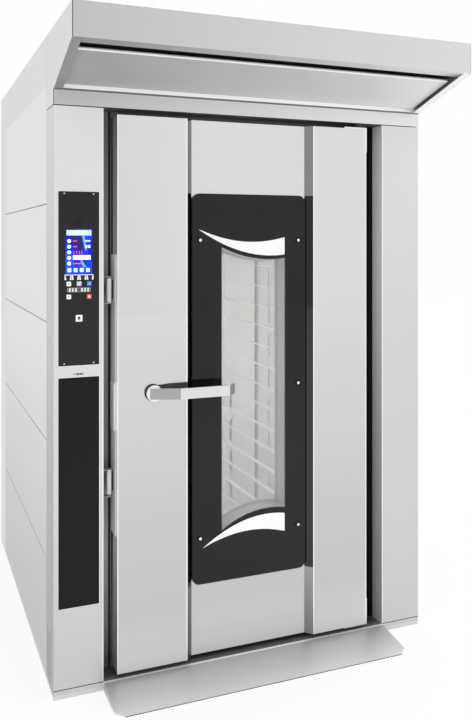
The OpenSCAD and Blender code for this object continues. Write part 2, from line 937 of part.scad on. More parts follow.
// Flue pipe, water inlet and cable gland on the roof
module roof_connections() {
    plate_t = 4;
    pipe_h = fascia_h - 10;
    console_w = 150;
    console_d = 108;
    console_top = 64;
    console_h = 64;
    fitting_x = 35;
    gland_l = 36;
    nut_h = 10;
    thread_l = 20;
    color("silver") {
        along_z(roof_z, roof_z + pipe_h)
            translate(flue_place)
                difference() {
                    circle(flue_r);
                    circle(flue_r - sheet);
                }
        along_z(roof_z, roof_z + plate_t)
            translate(flue_place)
                difference() {
                    circle(flue_r + 25);
                    circle(flue_r - sheet);
                }
    }
    // low console that carries the water inlet and the cable gland
    translate([service_place[0], service_place[1], roof_z]) {
        color("silver")
            difference() {
                union() {
                    along_x(-console_w / 2, console_w / 2)
                        polygon(strip([[-console_d / 2, 0], [-console_top / 2, 0],
                            [-console_top / 2, console_h - plate_t],
                            [console_top / 2, console_h - plate_t],
                            [console_top / 2, 0], [console_d / 2, 0]], plate_t));
                    rod_z(fitting_x, 0, console_h - gland_l / 3, console_h + gland_l * 2 / 3,
                        gland_r + 5);
                }
                rod_z(fitting_x, 0, console_h - gland_l / 3 - cut,
                    console_h + gland_l * 2 / 3 + cut, gland_r);
            }
        color("goldenrod") {
            rod_z(-fitting_x, 0, console_h, console_h + nut_h, water_r + 5, $fn = 6);
            rod_z(-fitting_x, 0, console_h + nut_h, console_h + nut_h + thread_l, water_r);
        }
    }
}

// Scroll of the hood's exhaust fan: its radius grows with the angle
module hood_extractor() {
    r0 = fascia_h * 0.27;
    grow = fascia_h * 0.14;
    steps = 36;
    half = duct_w / 2;
    z = roof_z + r0 + grow + 8;
    box_r = exhaust_r + 8;
    outlet_h = 47;
    pipe_top = body_h - 4;
    color("lightgray")
        difference() {
            union() {
                along_x(extractor_x - half, extractor_x + half)
                    polygon([for (i = [0:steps])
                        let (a = i * 360 / steps, r = r0 + grow * i / steps)
                        [extractor_y - r * cos(a), z + r * sin(a) - grow * 0.5]]);
                // duct towards the hood
                block([extractor_x - half, column_back_y, roof_z + 20],
                    [extractor_x + half, extractor_y, roof_z + 20 + duct_h * 0.8]);
                // feet
                block([extractor_x - half, extractor_y - 50, roof_z],
                    [extractor_x - half + 20, extractor_y + 50, roof_z + 40]);
                block([extractor_x + half - 20, extractor_y - 50, roof_z],
                    [extractor_x + half, extractor_y + 50, roof_z + 40]);
                // outlet box with the pipe
                block([extractor_x - box_r, extractor_y - box_r, z],
                    [extractor_x + box_r, extractor_y + box_r, pipe_top - outlet_h]);
                rod_z(extractor_x, extractor_y, z, pipe_top, exhaust_r);
            }
            rod_z(extractor_x, extractor_y, z + 20, body_h + cut, exhaust_r - sheet);
        }
    color("steelblue")
        translate([extractor_x + half, extractor_y, z])
            rotate([0, 90, 0])
                motor(r0, 120);
}

// ---- Controls ----

// Places of the round-cornered keys: x, z, width, height
function key_at(x, z, w, h) = [panel_x + x, z, w, h];
key_boxes = [
    key_at(-key_pitch_x, key_row_1, key_size, key_size),
    key_at(0, key_row_1, key_size, key_size),
    key_at(key_pitch_x, key_row_1, key_size, key_size),
    key_at(-key_pitch_x, key_row_2, key_size, key_size),
    key_at(key_pitch_x, key_row_2, key_size, key_size),
    key_at(0, lamp_key_z, lamp_key_size, lamp_key_size)];
soft_boxes = [for (i = [0:3])
    key_at((i - 1.5) * soft_key_pitch, soft_key_z + soft_key_h / 2, soft_key_w, soft_key_h)];

module key_outline(k, grow) {
    round_rect([k[0] - k[2] / 2 - grow, k[1] - k[3] / 2 - grow],
        [k[0] + k[2] / 2 + grow, k[1] + k[3] / 2 + grow], 2 + grow);
}

// A key cap with a flange that holds it behind the panel
module key(k) {
    along_y(panel_front - key_proud, front_y + key_gap)
        key_outline(k, 0);
    along_y(front_y + key_gap, front_y + key_gap + key_flange_t)
        key_outline(k, key_flange);
}

module control_panel() {
    vents = 6;
    color([0.12, 0.12, 0.13])
        difference() {
            union() {
                along_y(panel_front, front_y)
                    difference() {
                        round_rect([panel_x0, control_z], [panel_x1, control_z + control_h], 2);
                        rect([panel_x - screen_w / 2, screen_z],
                            [panel_x + screen_w / 2, screen_z + screen_h]);
                        for (k = concat(key_boxes, soft_boxes))
                            key_outline(k, key_gap);
                    }
                rod_y(panel_x, buzzer_z, panel_front - 2, panel_front, buzzer_r);
            }
            rod_y(panel_x, buzzer_z, panel_front - 2 - cut, panel_front - 1, buzzer_r - 3);
            for (i = [0:vents - 1])
                rotate_round_y(panel_x, buzzer_z, i * 360 / vents)
                    rod_y(panel_x + 6, buzzer_z, panel_front - 1 - cut, front_y - 1, 1.5);
        }
}

module rotate_round_y(x, z, a) {
    translate([x, 0, z])
        rotate([0, a, 0])
            translate([-x, 0, -z])
                children();
}

module display() {
    color("royalblue")
        along_y(panel_front - 0.3, front_y)
            rect([panel_x - screen_w / 2, screen_z],
                [panel_x + screen_w / 2, screen_z + screen_h]);
}

module plain_panel() {
    color([0.10, 0.10, 0.11])
        along_y(panel_front, front_y)
            round_rect([panel_x0, plain_z], [panel_x1, plain_z + plain_h], 2);
}

// ---- Door ----

// Plan of the door with its recessed middle, drawn in by an inset
function door_plan(i) = let (
        l0 = recess_x - recess_w / 2,
        l1 = recess_x + recess_w / 2,
        m = i * 0.4)
    [[door_x0 + i, door_back - i], [door_x0 + i, door_front + i],
    [l0 - bevel_w - m, door_front + i], [l0 - m, recess_y + i],
    [l1 + m, recess_y + i], [l1 + bevel_w + m, door_front + i],
    [door_x1 - i, door_front + i], [door_x1 - i, door_back - i]];

// Clear window with arched upper and lower edges, in X and Z
module window_outline(grow) {
    difference() {
        rect([window_x - window_w / 2 - grow, window_z0 - grow],
            [window_x + window_w / 2 + grow, window_z1 + grow]);
        translate([arch_x, top_arch_z])
            circle(window_top_r - grow, $fn = 180);
        translate([arch_x, bottom_arch_z])
            circle(window_bottom_r - grow, $fn = 180);
    }
}

// Room for the latch bar, its link and the spindle's cam inside the door
module latch_room(c) {
    block([door_x0 - cut, bolt_y0 - c, bolt_z[0] - bolt_half - c],
        [bar_x + bar_w + latch_travel + 4, bolt_y1 + c, bolt_z[1] + bolt_half + c]);
    block([bar_x, bolt_y0 - c, handle_z - 10 - c],
        [handle_axis_x - 24 + latch_travel + 4, bolt_y1 + c, handle_z + 10 + c]);
    rod_y(handle_axis_x, handle_z, door_front + sheet, bolt_y1 + c, 36);
}

module door_skin() {
    color([0.84, 0.84, 0.85])
        difference() {
            along_z(door_z0, door_z1)
                polygon(door_plan(0));
            along_z(door_z0 + sheet, door_z1 - sheet)
                polygon(door_plan(sheet));
            along_y(door_front - cut, door_back + cut)
                window_outline(reveal_t);
            rod_y(handle_axis_x, handle_z, door_front - cut, door_front + sheet + cut,
                spindle_r + running);
            for (z = bolt_z)
                block([door_x0 - cut, bolt_y0 - gap, z - bolt_half - gap],
                    [door_x0 + sheet + cut, bolt_y1 + gap, z + bolt_half + gap]);
        }
}

module door_core() {
    color("khaki")
        difference() {
            along_z(door_z0 + sheet, door_z1 - sheet)
                polygon(door_plan(sheet));
            along_y(door_front - cut, door_back + cut)
                window_outline(reveal_t);
            latch_room(gap);
        }
}

module glass_outline(grow) {
    round_rect([recess_x - recess_w / 2 - grow, glass_z0 - grow],
        [recess_x + recess_w / 2 + grow, glass_z0 + glass_h + grow], glass_r + grow);
}

// Places of the six pane screws
screw_places = [for (s = [-1, 1], z = screw_rows)
    [recess_x + s * (recess_w / 2 - screw_inset), glass_z0 + z]];

module window_mask() {
    color([0.08, 0.08, 0.09])
        along_y(glass_front, glass_back)
            difference() {
                glass_outline(0);
                window_outline(0);
                for (p = screw_places)
                    translate(p)
                        circle(screw_shank_r + running);
            }
}

// Clear middle of the outer pane, and the inner pane behind the window
module window_panes() {
    color([0.85, 0.92, 0.95, 0.35]) {
        along_y(glass_front, glass_back)
            window_outline(0);
        along_y(inner_pane_y, inner_pane_y + glass_t)
            window_outline(-0.2);
    }
}

// Lining of the window between the panes, with a rim round the inner pane
module window_reveal() {
    rim = 14;
    lip = 8;
    color("silver") {
        along_y(recess_y - glass_gap, door_back)
            difference() {
                window_outline(reveal_t);
                window_outline(0);
            }
        along_y(door_back, door_back + reveal_t)
            difference() {
                window_outline(rim);
                window_outline(-lip);
            }
    }
}

// Seal strip round the back of the door, with a sweep along its lower edge
module door_seal() {
    x0 = door_x0 + seal_inset;
    x1 = door_x1 - seal_inset;
    z0 = floor_z + gap;
    z1 = door_z1 - seal_inset;
    color("black")
        along_y(door_back, landing_y - gap)
            difference() {
                rect([x0, z0], [x1, z1]);
                rect([x0 + seal_w, door_z0 + seal_w], [x1 - seal_w, z1 - seal_w]);
            }
}

// Domed screws with spacers that hold the outer pane
module pane_screws() {
    dome = 22;
    color("silver")
        for (p = screw_places) {
            rod_y(p[0], p[1], glass_back, recess_y, pane_screw_r);
            rod_y(p[0], p[1], glass_front, glass_back, screw_shank_r);
            intersection() {
                rod_y(p[0], p[1], glass_front - screw_head_t, glass_front, pane_screw_r);
                translate([p[0], glass_front - screw_head_t + dome, p[1]])
                    sphere(dome, $fn = 48);
            }
        }
}

// Cover on the door's latch edge with the case of the latch
module door_edge() {
    y0 = door_front + 18;
    y1 = door_back - 10;
    color([0.88, 0.88, 0.88])
        difference() {
            union() {
                block([door_x0 - edge_t, y0, edge_z0], [door_x0, y1, edge_z1]);
                block([door_x0 - case_t, y0 + 8, case_z0], [door_x0, y1 - 8, case_z1]);
            }
            for (z = bolt_z)
                block([door_x0 - edge_t - cut, bolt_y0 - gap, z - bolt_half - gap],
                    [door_x0 + cut, bolt_y1 + gap, z + bolt_half + gap]);
        }
}

// Angles round the door's right corners, with the hinge pins
module hinge_leaves() {
    t = hinge_leaf_t;
    color("silver")
        for (top = [0, 1]) {
            z = top == 1 ? door_z1 : door_z0 - t;
            pin_z0 = top == 1 ? z + t : z - 11;
            pin_z1 = top == 1 ? z + t + 11 : z;
            edge_0 = top == 1 ? z - 88 : z;
            edge_1 = top == 1 ? z + t : z + 100;
            block([door_x1 - hinge_leaf_w, hinge_leaf_y0, z], [door_x1 + t, hinge_leaf_y1, z + t]);
            block([door_x1, hinge_leaf_y0, edge_0], [door_x1 + t, hinge_leaf_y1, edge_1]);
            rod_z(hinge_x, hinge_y, pin_z0, pin_z1, hinge_pin_r);
        }
}

// Flanged bushings under the header and on the sill
module hinge_bushings() {
    r = 20;
    top_z = door_z1 + hinge_leaf_t + 0.3;
    low_z = door_z0 - hinge_leaf_t - 0.3;
    color("darkgray")
        difference() {
            union() {
                rod_z(hinge_x, hinge_y, top_z, header_z, r);
                rod_z(hinge_x, hinge_y, floor_z, low_z, r);
            }
            rod_z(hinge_x, hinge_y, top_z - cut, top_z + 12, hinge_pin_r + running);
            rod_z(hinge_x, hinge_y, low_z - 11.5, low_z + cut, hinge_pin_r + running);
        }
}

// Nylon rollers in brackets on the left column
module door_keepers() {
    ear_t = 3;
    color("white")
        for (z = bolt_z) {
            block([-open_x, keeper_y - 18, z - keeper_half - 12],
                [-open_x + keeper_plate_t, keeper_y + 30, z + keeper_half + 12]);
            for (s = [-1, 1])
                block([-open_x + keeper_plate_t, keeper_y - 12,
                    z + s * (keeper_half + ear_t / 2) - ear_t / 2],
                    [keeper_x + 6, keeper_y + 12, z + s * (keeper_half + ear_t / 2) + ear_t / 2]);
            rod_z(keeper_x, keeper_y, z - keeper_half, z + keeper_half, keeper_r);
        }
}

// ---- Handle and latch ----

module handle_boss() {
    cam_r = 20;
    color("silver") {
        rod_y(handle_axis_x, handle_z, boss_front, door_front - 0.3, boss_r);
        rod_y(handle_axis_x, handle_z, boss_front, bolt_y1, spindle_r);
        rod_y(handle_axis_x, handle_z, bolt_y0, bolt_y1, cam_r);
    }
}

// Flat band: out from the boss, along the grip and back towards the door, with a seat on the boss
module handle_band() {
    x0 = handle_axis_x - boss_r * 0.5;
    x1 = handle_axis_x + grip_from;
    x2 = x1 + band_grip;
    out = band_out - boss_t;
    seat_w = 1.1 * boss_r;
    path = [[x0, boss_front], [x1, band_front], [x2, band_front], [x2 + out * 0.9, boss_front]];
    color("gainsboro")
        along_z(handle_z - band_h / 2, handle_z + band_h / 2) {
            polygon(strip(path, -band_t));
            polygon([[x0, boss_front], [x0 + seat_w, boss_front],
                [x0 + seat_w, boss_front - seat_w * out / (x1 - x0)]]);
        }
}

// Upright bar with two tongues and a link to the spindle
module latch_bolts() {
    color("gray") {
        block([bar_x, bolt_y0, bolt_z[0] - bolt_half], [bar_x + bar_w, bolt_y1,
            bolt_z[1] + bolt_half]);
        for (z = bolt_z)
            along_z(z - bolt_half, z + bolt_half)
                polygon([[bar_x, bolt_y0], [door_x0 - bolt_tip, bolt_y0],
                    [door_x0 - bolt_tip, bolt_y0 + 4], [door_x0 - bolt_tip + 8, bolt_y1],
                    [bar_x, bolt_y1]]);
        block([bar_x, bolt_y0, handle_z - 10], [handle_axis_x - 24 - latch_travel, bolt_y1,
            handle_z + 10]);
    }
}

// ---- Rack ----

// Shaft of the rack's drive with the forked hook that carries the rack
module rack_yoke() {
    z0 = hook_z - hook_t;
    z1 = hook_z + hook_gap_h;
    color("gray") {
        rod_z(0, rack_y, z1, gearbox_z + gearbox_h + shaft_top, drive_r);
        rod_z(0, rack_y, z1, z1 + 24, drive_r * 2);
        translate([0, rack_y, 0]) {
            along_x(-hook_w / 2, hook_w / 2)
                polygon([[60, z0], [60, z1 + hook_t], [-50, z1 + hook_t], [-50, z1],
                    [60 - hook_t, z1], [60 - hook_t, z0]]);
            along_z(z0, hook_z)
                difference() {
                    rect([-hook_w / 2, -60], [hook_w / 2, 60]);
                    circle(king_neck_r + 1);
                    rect([-king_neck_r - 1, -60 - cut], [king_neck_r + 1, 0]);
                }
        }
    }
}

// Square tubes of the rack with its bridge and king pin
module rack_frame() {
    x1 = rack_w / 2;
    y1 = rack_d / 2;
    color("silver")
        translate([0, rack_y, 0]) {
            for (sx = [-1, 1], sy = [-1, 1])
                scale([sx, sy, 1]) {
                    block([x1 - tube_w, y1 - tube_w, rack_z0], [x1, y1, rack_z1]);
                    // plate over the caster
                    block([caster_x - 40, caster_y - 40, rack_z0 - 4],
                        [caster_x + 40, caster_y + 40, rack_z0]);
                }
            for (z = [rack_z0, rack_z1 - tube_w]) {
                for (s = [-1, 1])
                    scale([s, 1, 1])
                        block([x1 - tube_w, -y1, z], [x1, y1, z + tube_w]);
                for (s = [-1, 1])
                    scale([1, s, 1])
                        block([-x1, y1 - tube_w, z], [x1, y1, z + tube_w]);
            }
            // bars that carry the casters
            for (s = [-1, 1])
                block([-x1, s * caster_y - 20, rack_z0], [x1, s * caster_y + 20,
                    rack_z0 + tube_w]);
            // bridge with the king pin
            block([-x1, -tube_w, rack_z1 - tube_w], [x1, tube_w, rack_z1]);
            translate([0, 0, rack_z1]) {
                translate([-60, -tube_w, 0])
                    cube([120, 2 * tube_w, tube_w]);
                cylinder(h = tube_w + king_neck_h + cut, r = king_neck_r);
            }
            translate([0, 0, hook_z])
                cylinder(h = king_head_t, r = king_head_r);
        }
    // fixed casters at the back
    for (i = [1, 2])
        translate(caster_place(i)) {
            caster_fork(0);
            color("lightgray")
                rod_z(0, 0, fork_top_z + caster_plate_t - cut, rack_z0 - 4 + cut, swivel_r);
        }
}

module rack_rails() {
    color("gainsboro")
        translate([0, rack_y, 0])
            for (s = [-1, 1], i = [0:levels - 1])
                scale([s, 1, 1])
                    block([rack_w / 2 - tube_w - rail_w, -rack_d / 2,
                        rails_z0 + i * level_pitch],
                        [rack_w / 2 - tube_w, rack_d / 2, rails_z0 + i * level_pitch + rail_t]);
}

// Fork of a caster with its axle, its trail towards -Y
module caster_fork(trail) {
    half = wheel_w / 2 + 1 + fork_t;
    color("lightgray") {
        for (s = [-1, 1])
            scale([s, 1, 1])
                along_x(half - fork_t, half)
                    polygon([[-trail - 14, wheel_z - 10], [-trail + 14, wheel_z - 10],
                        [22, fork_top_z], [-trail - 22, fork_top_z]]);
        block([-half, -trail - 22, fork_top_z], [half, 22, fork_top_z + caster_plate_t]);
        rod_x(-trail, wheel_z, -half - 3, half + 3, axle_r);
    }
}

// Place of a caster: 1 and 2 at the back are fixed, 3 and 4 in front swivel
function caster_place(i) = [(i % 2 == 1 ? -1 : 1) * caster_x,
    rack_y + (i < 3 ? caster_y : -caster_y), 0];

module caster_fork_swivel(i) {
    translate(caster_place(i)) {
        caster_fork(caster_trail);
        color("lightgray")
            rod_z(0, 0, fork_top_z + caster_plate_t, rack_z0 - 4 - 0.3, swivel_r);
    }
}

module caster_wheel(i) {
    y = i < 3 ? 0 : -caster_trail;
    color([0.15, 0.15, 0.16])
        translate(caster_place(i) + [0, y, wheel_z])
            rotate([0, 90, 0])
                rotate_extrude()
                    polygon([[axle_r + running, -wheel_w / 2 + 1], [axle_r + 8, -wheel_w / 2 + 1],
                        [axle_r + 9, -wheel_w / 2 + 6], [wheel_r - 12, -wheel_w / 2 + 6],
                        [wheel_r - 11, -wheel_w / 2 + 1], [wheel_r - 4, -wheel_w / 2 + 1],
                        [wheel_r, -wheel_w / 2 + 6], [wheel_r, wheel_w / 2 - 6],
                        [wheel_r - 4, wheel_w / 2 - 1], [wheel_r - 11, wheel_w / 2 - 1],
                        [wheel_r - 12, wheel_w / 2 - 6], [axle_r + 9, wheel_w / 2 - 6],
                        [axle_r + 8, wheel_w / 2 - 1], [axle_r + running, wheel_w / 2 - 1]]);
}

// Radial fan wheel with curved blades on a back plate, and its shaft
module fan_wheel() {
    blade_t = 2.5;
    blade_r = fan_r * 0.75;
    color("silver")
        translate([0, plenum_y, 0]) {
            rod_z(0, 0, fan_z0 + 20, roof_z + fan_bore_h - cut, fan_shaft_r);
            rod_z(0, 0, fan_z0 + 30, fan_z1, fan_shaft_r * 2.2);
            rod_z(0, 0, fan_z1 - 3, fan_z1, fan_r);
            along_z(fan_z0, fan_z0 + 3)
                difference() {
                    circle(fan_r);
                    circle(fan_eye_r);
                }
            along_z(fan_z0, fan_z1)
                intersection() {
                    difference() {
                        circle(fan_r - 1);
                        circle(fan_eye_r + 2);
                    }
                    for (i = [0:fan_blades - 1])
                        rotate(i * 360 / fan_blades)
                            translate([fan_r * 0.80, -blade_r * 0.88])
                                difference() {
                                    circle(blade_r);
                                    circle(blade_r - blade_t);
                                    rect([-2 * blade_r, -2 * blade_r], [2 * blade_r, 0]);
                                }
                }
        }
}

base_frame();
ramp();
column_left();
column_right();
door_landing();
side_panels();
rear_panels();
fascias();
header();
roof_deck();
hood_shell();
hood_baffle();
hood_grille();
chamber_liner();
insulation();
air_walls();
heater_bank();
fan_motor();
steam_unit();
chamber_lamp();
rack_gearmotor();
roof_connections();
hood_extractor();
control_panel();
display();
plain_panel();
door_keepers();
hinge_bushings();
door_skin();
door_core();
window_mask();
window_panes();
window_reveal();
door_seal();
pane_screws();
door_edge();
hinge_leaves();
handle_boss();
handle_band();
latch_bolts();
rack_yoke();
rack_frame();
rack_rails();
caster_fork_swivel(3);  // caster_fork_left
caster_fork_swivel(4);  // caster_fork_right
caster_wheel(1);  // caster_wheel_1
caster_wheel(2);  // caster_wheel_2
caster_wheel(3);  // caster_wheel_3
caster_wheel(4);  // caster_wheel_4
fan_wheel();
color("dimgray") key(soft_boxes[0]);  // soft_key_1
color("dimgray") key(soft_boxes[1]);  // soft_key_2
color("dimgray") key(soft_boxes[2]);  // soft_key_3
color("dimgray") key(soft_boxes[3]);  // soft_key_4
color("white") key(key_boxes[0]);  // key_up
color("white") key(key_boxes[1]);  // key_page
color("dodgerblue") key(key_boxes[2]);  // key_ok
color("white") key(key_boxes[3]);  // key_down
color("lightcoral") key(key_boxes[4]);  // key_stop
color("white") key(key_boxes[5]);  // key_lamp
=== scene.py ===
"""Looks of a rotating rack oven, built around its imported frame. Metres, +Z up, front at -Y."""

import functools
import json
import math

import bmesh
import bpy
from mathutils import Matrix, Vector


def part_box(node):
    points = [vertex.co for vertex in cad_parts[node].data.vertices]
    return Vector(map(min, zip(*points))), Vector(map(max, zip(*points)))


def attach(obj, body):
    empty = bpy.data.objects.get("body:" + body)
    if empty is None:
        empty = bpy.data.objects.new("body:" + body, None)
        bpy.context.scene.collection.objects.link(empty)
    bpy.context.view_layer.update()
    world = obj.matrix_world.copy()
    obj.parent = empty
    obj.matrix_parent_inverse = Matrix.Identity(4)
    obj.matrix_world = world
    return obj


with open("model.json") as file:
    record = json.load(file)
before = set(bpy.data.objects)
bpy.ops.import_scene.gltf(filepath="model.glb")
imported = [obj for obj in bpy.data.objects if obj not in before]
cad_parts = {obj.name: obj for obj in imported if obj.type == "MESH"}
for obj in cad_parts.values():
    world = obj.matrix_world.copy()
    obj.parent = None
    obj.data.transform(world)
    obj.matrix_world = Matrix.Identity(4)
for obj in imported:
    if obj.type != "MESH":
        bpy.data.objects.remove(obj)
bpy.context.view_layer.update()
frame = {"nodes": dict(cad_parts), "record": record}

MM = 0.001
X, Y, Z = 0, 1, 2
FRONT, BACK, LEFT, UP = (0, -1, 0), (0, 1, 0), (-1, 0, 0), (0, 0, 1)
SLOT_OF = {part["node"]: part["material_slot"] for part in frame["record"]["subparts"]}

# Places of the CAD model that the shading and the pieces go by
FRONT_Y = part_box("column_left")[0].y
DOOR_FRONT_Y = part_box("door_skin")[0].y
RAMP_FRONT_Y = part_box("ramp")[0].y
BAFFLE_FRONT_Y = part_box("hood_baffle")[0].y
DRIP_LIP_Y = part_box("header")[0].y
HOOD_FRONT_EDGE_Z = 2.125
PANEL_T = 3 * MM

# Just beside the cabinet, where its drifts of painted shading start and end
BESIDE_X = 0.72

# Camera, fitted to the photograph: level, shifted down, seen from the front left
CAMERA_PLACE = (-1.1698, -3.4832, 1.518)
CAMERA_YAW = -22.234
CAMERA_LENS = 40.58
CAMERA_SENSOR = 36
CAMERA_SHIFT_Y = -0.166

# Area lights: (place, target, size, power in watts)
LIGHTS = {
    "key": ((-2.6, -4.2, 4.2), (0, 0, 1.1), (3.0, 2.4), 26),
    "fill": ((3.4, -3.8, 2.6), (0, 0, 1.0), (2.6, 2.6), 16),
    "low": ((0, -2.4, 0.25), (0, -0.9, 2.1), (2.2, 0.6), 9),
    "chamber": ((0, -0.60, 1.0), (0, 0.4, 1.0), (0.7, 1.4), 20),
}


# ---- Node trees ----

def srgb(r, g, b):
    """A colour given as it looks on the screen, 0 to 255, as linear RGBA."""
    def linear(v):
        v /= 255
        return v / 12.92 if v <= 0.04045 else ((v + 0.055) / 1.055) ** 2.4
    return (linear(r), linear(g), linear(b), 1.0)


def even(amount):
    """The same amount in all three colours."""
    return (amount, amount, amount, 1)


class NodeTree:
    """A node tree under construction. A (node, output) pair stands for what the output gives."""

    def __init__(self, owner):
        owner.use_nodes = True
        self.tree = owner.node_tree
        self.tree.nodes.clear()

    def add(self, kind, inputs=None, **settings):
        """A new node with its settings, and with plain values or pairs in its sockets."""
        made = self.tree.nodes.new(kind)
        for key, value in settings.items():
            setattr(made, key, value)
        for socket, value in (inputs or {}).items():
            self.feed(made, socket, value)
        return made

    def feed(self, node, socket, value):
        """Gives a socket a plain value, or links it to a pair."""
        if isinstance(value, tuple) and isinstance(value[0], bpy.types.Node):
            source, output = value
            self.tree.links.new(source.outputs[output], node.inputs[socket])
        else:
            node.inputs[socket].default_value = value

    def calculate(self, operation, *values):
        """The result of a Math node."""
        return self.add("ShaderNodeMath", dict(enumerate(values)), operation=operation), "Value"

    def ramp(self, source, low, high, start=0.3, end=0.7):
        """A colour ramp from low to high over part of the source's range."""
        made = self.add("ShaderNodeValToRGB", {"Fac": source})
        first, last = made.color_ramp.elements
        first.position, first.color = start, low
        last.position, last.color = end, high
        return made, "Color"

    def laid_over(self, mask, below, above):
        """One colour laid over another where the mask is 1."""
        mix = self.add("ShaderNodeMix", {"Factor": mask, "A": below, "B": above},
                       data_type="RGBA")
        return mix, "Result"

    def seen_by(self, *rays):
        """1 for rays of two kinds, such as Camera and Glossy."""
        path = self.add("ShaderNodeLightPath")
        return self.calculate("MAXIMUM", *((path, f"Is {ray} Ray") for ray in rays))


class Shader(NodeTree):
    """A node material under construction, with its Principled shader."""

    def __init__(self, name):
        self.material = bpy.data.materials.new(name)
        super().__init__(self.material)
        self.surface = self.add("ShaderNodeBsdfPrincipled")
        self.output = self.add("ShaderNodeOutputMaterial", {"Surface": (self.surface, "BSDF")})
        self.coordinates = self.add("ShaderNodeTexCoord")

    def set(self, **values):
        """Plain values or pairs for the surface's sockets."""
        for key, value in values.items():
            self.feed(self.surface, key.replace("_", " "), value)

    def noise(self, scale, detail=2.0, stretch=(1, 1, 1)):
        """Noise in the object's own space, its pattern stretched along an axis."""
        mapping = self.add("ShaderNodeMapping", {"Vector": (self.coordinates, "Object"),
                                                 "Scale": stretch})
        texture = self.add("ShaderNodeTexNoise", {"Vector": (mapping, "Vector"), "Scale": scale,
                                                  "Detail": detail})
        return texture, "Fac"

    def varied(self, colour, spread, scale, detail=3.0, stretch=(1, 1, 1)):
        """A colour that drifts a little lighter and darker."""
        low = tuple(c * (1 - spread) for c in colour[:3]) + (1,)
        high = tuple(min(c * (1 + spread), 1) for c in colour[:3]) + (1,)
        return self.ramp(self.noise(scale, detail, stretch), low, high)

    def coordinate(self, source, axis):
        """One coordinate of the face's normal or place."""
        return self.add("ShaderNodeSeparateXYZ", {"Vector": (self.coordinates, source)}), axis

    def drift(self, axis, *stops):
        """A colour that changes along an axis, through (place, colour) stops."""
        (start, first), (end, last) = stops[0], stops[-1]
        span = self.add("ShaderNodeMapRange", {"Value": self.coordinate("Object", axis),
                                               "From Min": start, "From Max": end})
        made, output = self.ramp((span, "Result"), first, last, start=0, end=1)
        for place, colour in stops[1:-1]:
            made.color_ramp.elements.new((place - start) / (end - start)).color = colour
        return made, output

    def where(self, tests):
        """1 where every test holds: (normal or place, axis, middle, reach)."""
        masks = [self.calculate("COMPARE", self.coordinate(source, axis), middle, reach)
                 for source, axis, middle, reach in tests]
        return functools.reduce(lambda a, b: self.calculate("MULTIPLY", a, b), masks)

    def paint(self, tone, layers=()):
        """Base colour from a tone, or from a drift of painted shading, with painted highlights
        and shade laid over it where tests hold.
        """
        drifts = isinstance(tone[0], str)
        colour = self.drift(*tone) if drifts else self.varied(tone, spread=0.012, scale=1.3)
        for other, *tests in layers:
            above = self.drift(*other) if isinstance(other[0], str) else other
            colour = self.laid_over(self.where(tests), colour, above)
        self.set(Base_Color=colour)

    def vary_colour(self, colour, spread, scale, detail=3.0, stretch=(1, 1, 1)):
        """Base colour that drifts a little lighter and darker."""
        self.set(Base_Color=self.varied(colour, spread, scale, detail, stretch))

    def vary_roughness(self, low, high, scale, stretch=(1, 1, 1)):
        """Roughness that drifts between two values."""
        noise = self.noise(scale, detail=3, stretch=stretch)
        spread = self.add("ShaderNodeMapRange", {"Value": noise, "To Min": low, "To Max": high})
        self.set(Roughness=(spread, "Result"))

    def grain(self, strength, scale, stretch=(1, 1, 1), distance=0.2 * MM, edge=0.0):
        """Fine bump, on edges that are softened by the given radius."""
        bump = self.add("ShaderNodeBump", {"Strength": strength, "Distance": distance,
                                           "Height": self.noise(scale, stretch=stretch)})
        if edge:
            bevel = self.add("ShaderNodeBevel", {"Radius": edge}, samples=4)
            self.feed(bump, "Normal", (bevel, "Normal"))
        self.set(Normal=(bump, "Normal"))


# ---- Kinds of material ----

def sheet_steel(name, tone, roughness=0.3, metallic=0.45, upright=True, edge=0.8 * MM,
                layers=()):
    """Satin sheet: barely seen lines along the sheet, a slow drift of tone, soft folds.

    tone: a colour, or (axis, (place, colour), ...) for painted shading that drifts along an axis.
    roughness: a number, or a drift of the same form.
    layers: (tone, test, ...) for the painted highlights and painted shade on some faces and
    strips."""
    lines = (700, 700, 12) if upright else (10, 700, 700)
    spread = 0.02
    made = Shader(name)
    made.set(Metallic=metallic)
    made.paint(tone, layers)
    if isinstance(roughness, tuple):
        made.set(Roughness=made.drift(*roughness))
    else:
        made.vary_roughness(roughness - spread, roughness + spread, scale=1, stretch=lines)
    made.grain(strength=0.012, scale=1, stretch=lines, edge=edge)
    return made.material


def bright_steel(name, tone, layers=()):
    """Polished steel with a faint haze."""
    made = Shader(name)
    made.set(Metallic=1.0)
    made.paint(tone, layers)
    made.vary_roughness(0.09, 0.18, scale=60)
    made.grain(strength=0.02, scale=400, stretch=(1, 1, 6), edge=0.7 * MM)
    return made.material


def dull_metal(name, tone, roughness=0.5, metallic=0.2, bump=0.12, scale=220):
    """Painted, cast or blackened metal."""
    made = Shader(name)
    made.set(Metallic=metallic)
    made.vary_colour(tone, spread=0.12, scale=14)
    made.vary_roughness(roughness - 0.1, roughness + 0.12, scale=30)
    made.grain(bump, scale, edge=0.6 * MM)
    return made.material


def galvanised(name, tone):
    """Zinc-coated sheet with its spangle."""
    made = Shader(name)
    made.set(Metallic=0.7)
    cells = made.add("ShaderNodeTexVoronoi", {"Vector": (made.coordinates, "Object"),
                                              "Scale": 70.0, "Randomness": 1.0})
    low = tuple(c * 0.86 for c in tone[:3]) + (1,)
    made.set(Base_Color=made.ramp((cells, "Color"), low, tone, start=0.1, end=0.9))
    made.vary_roughness(0.34, 0.5, scale=50)
    made.grain(strength=0.05, scale=260)
    return made.material


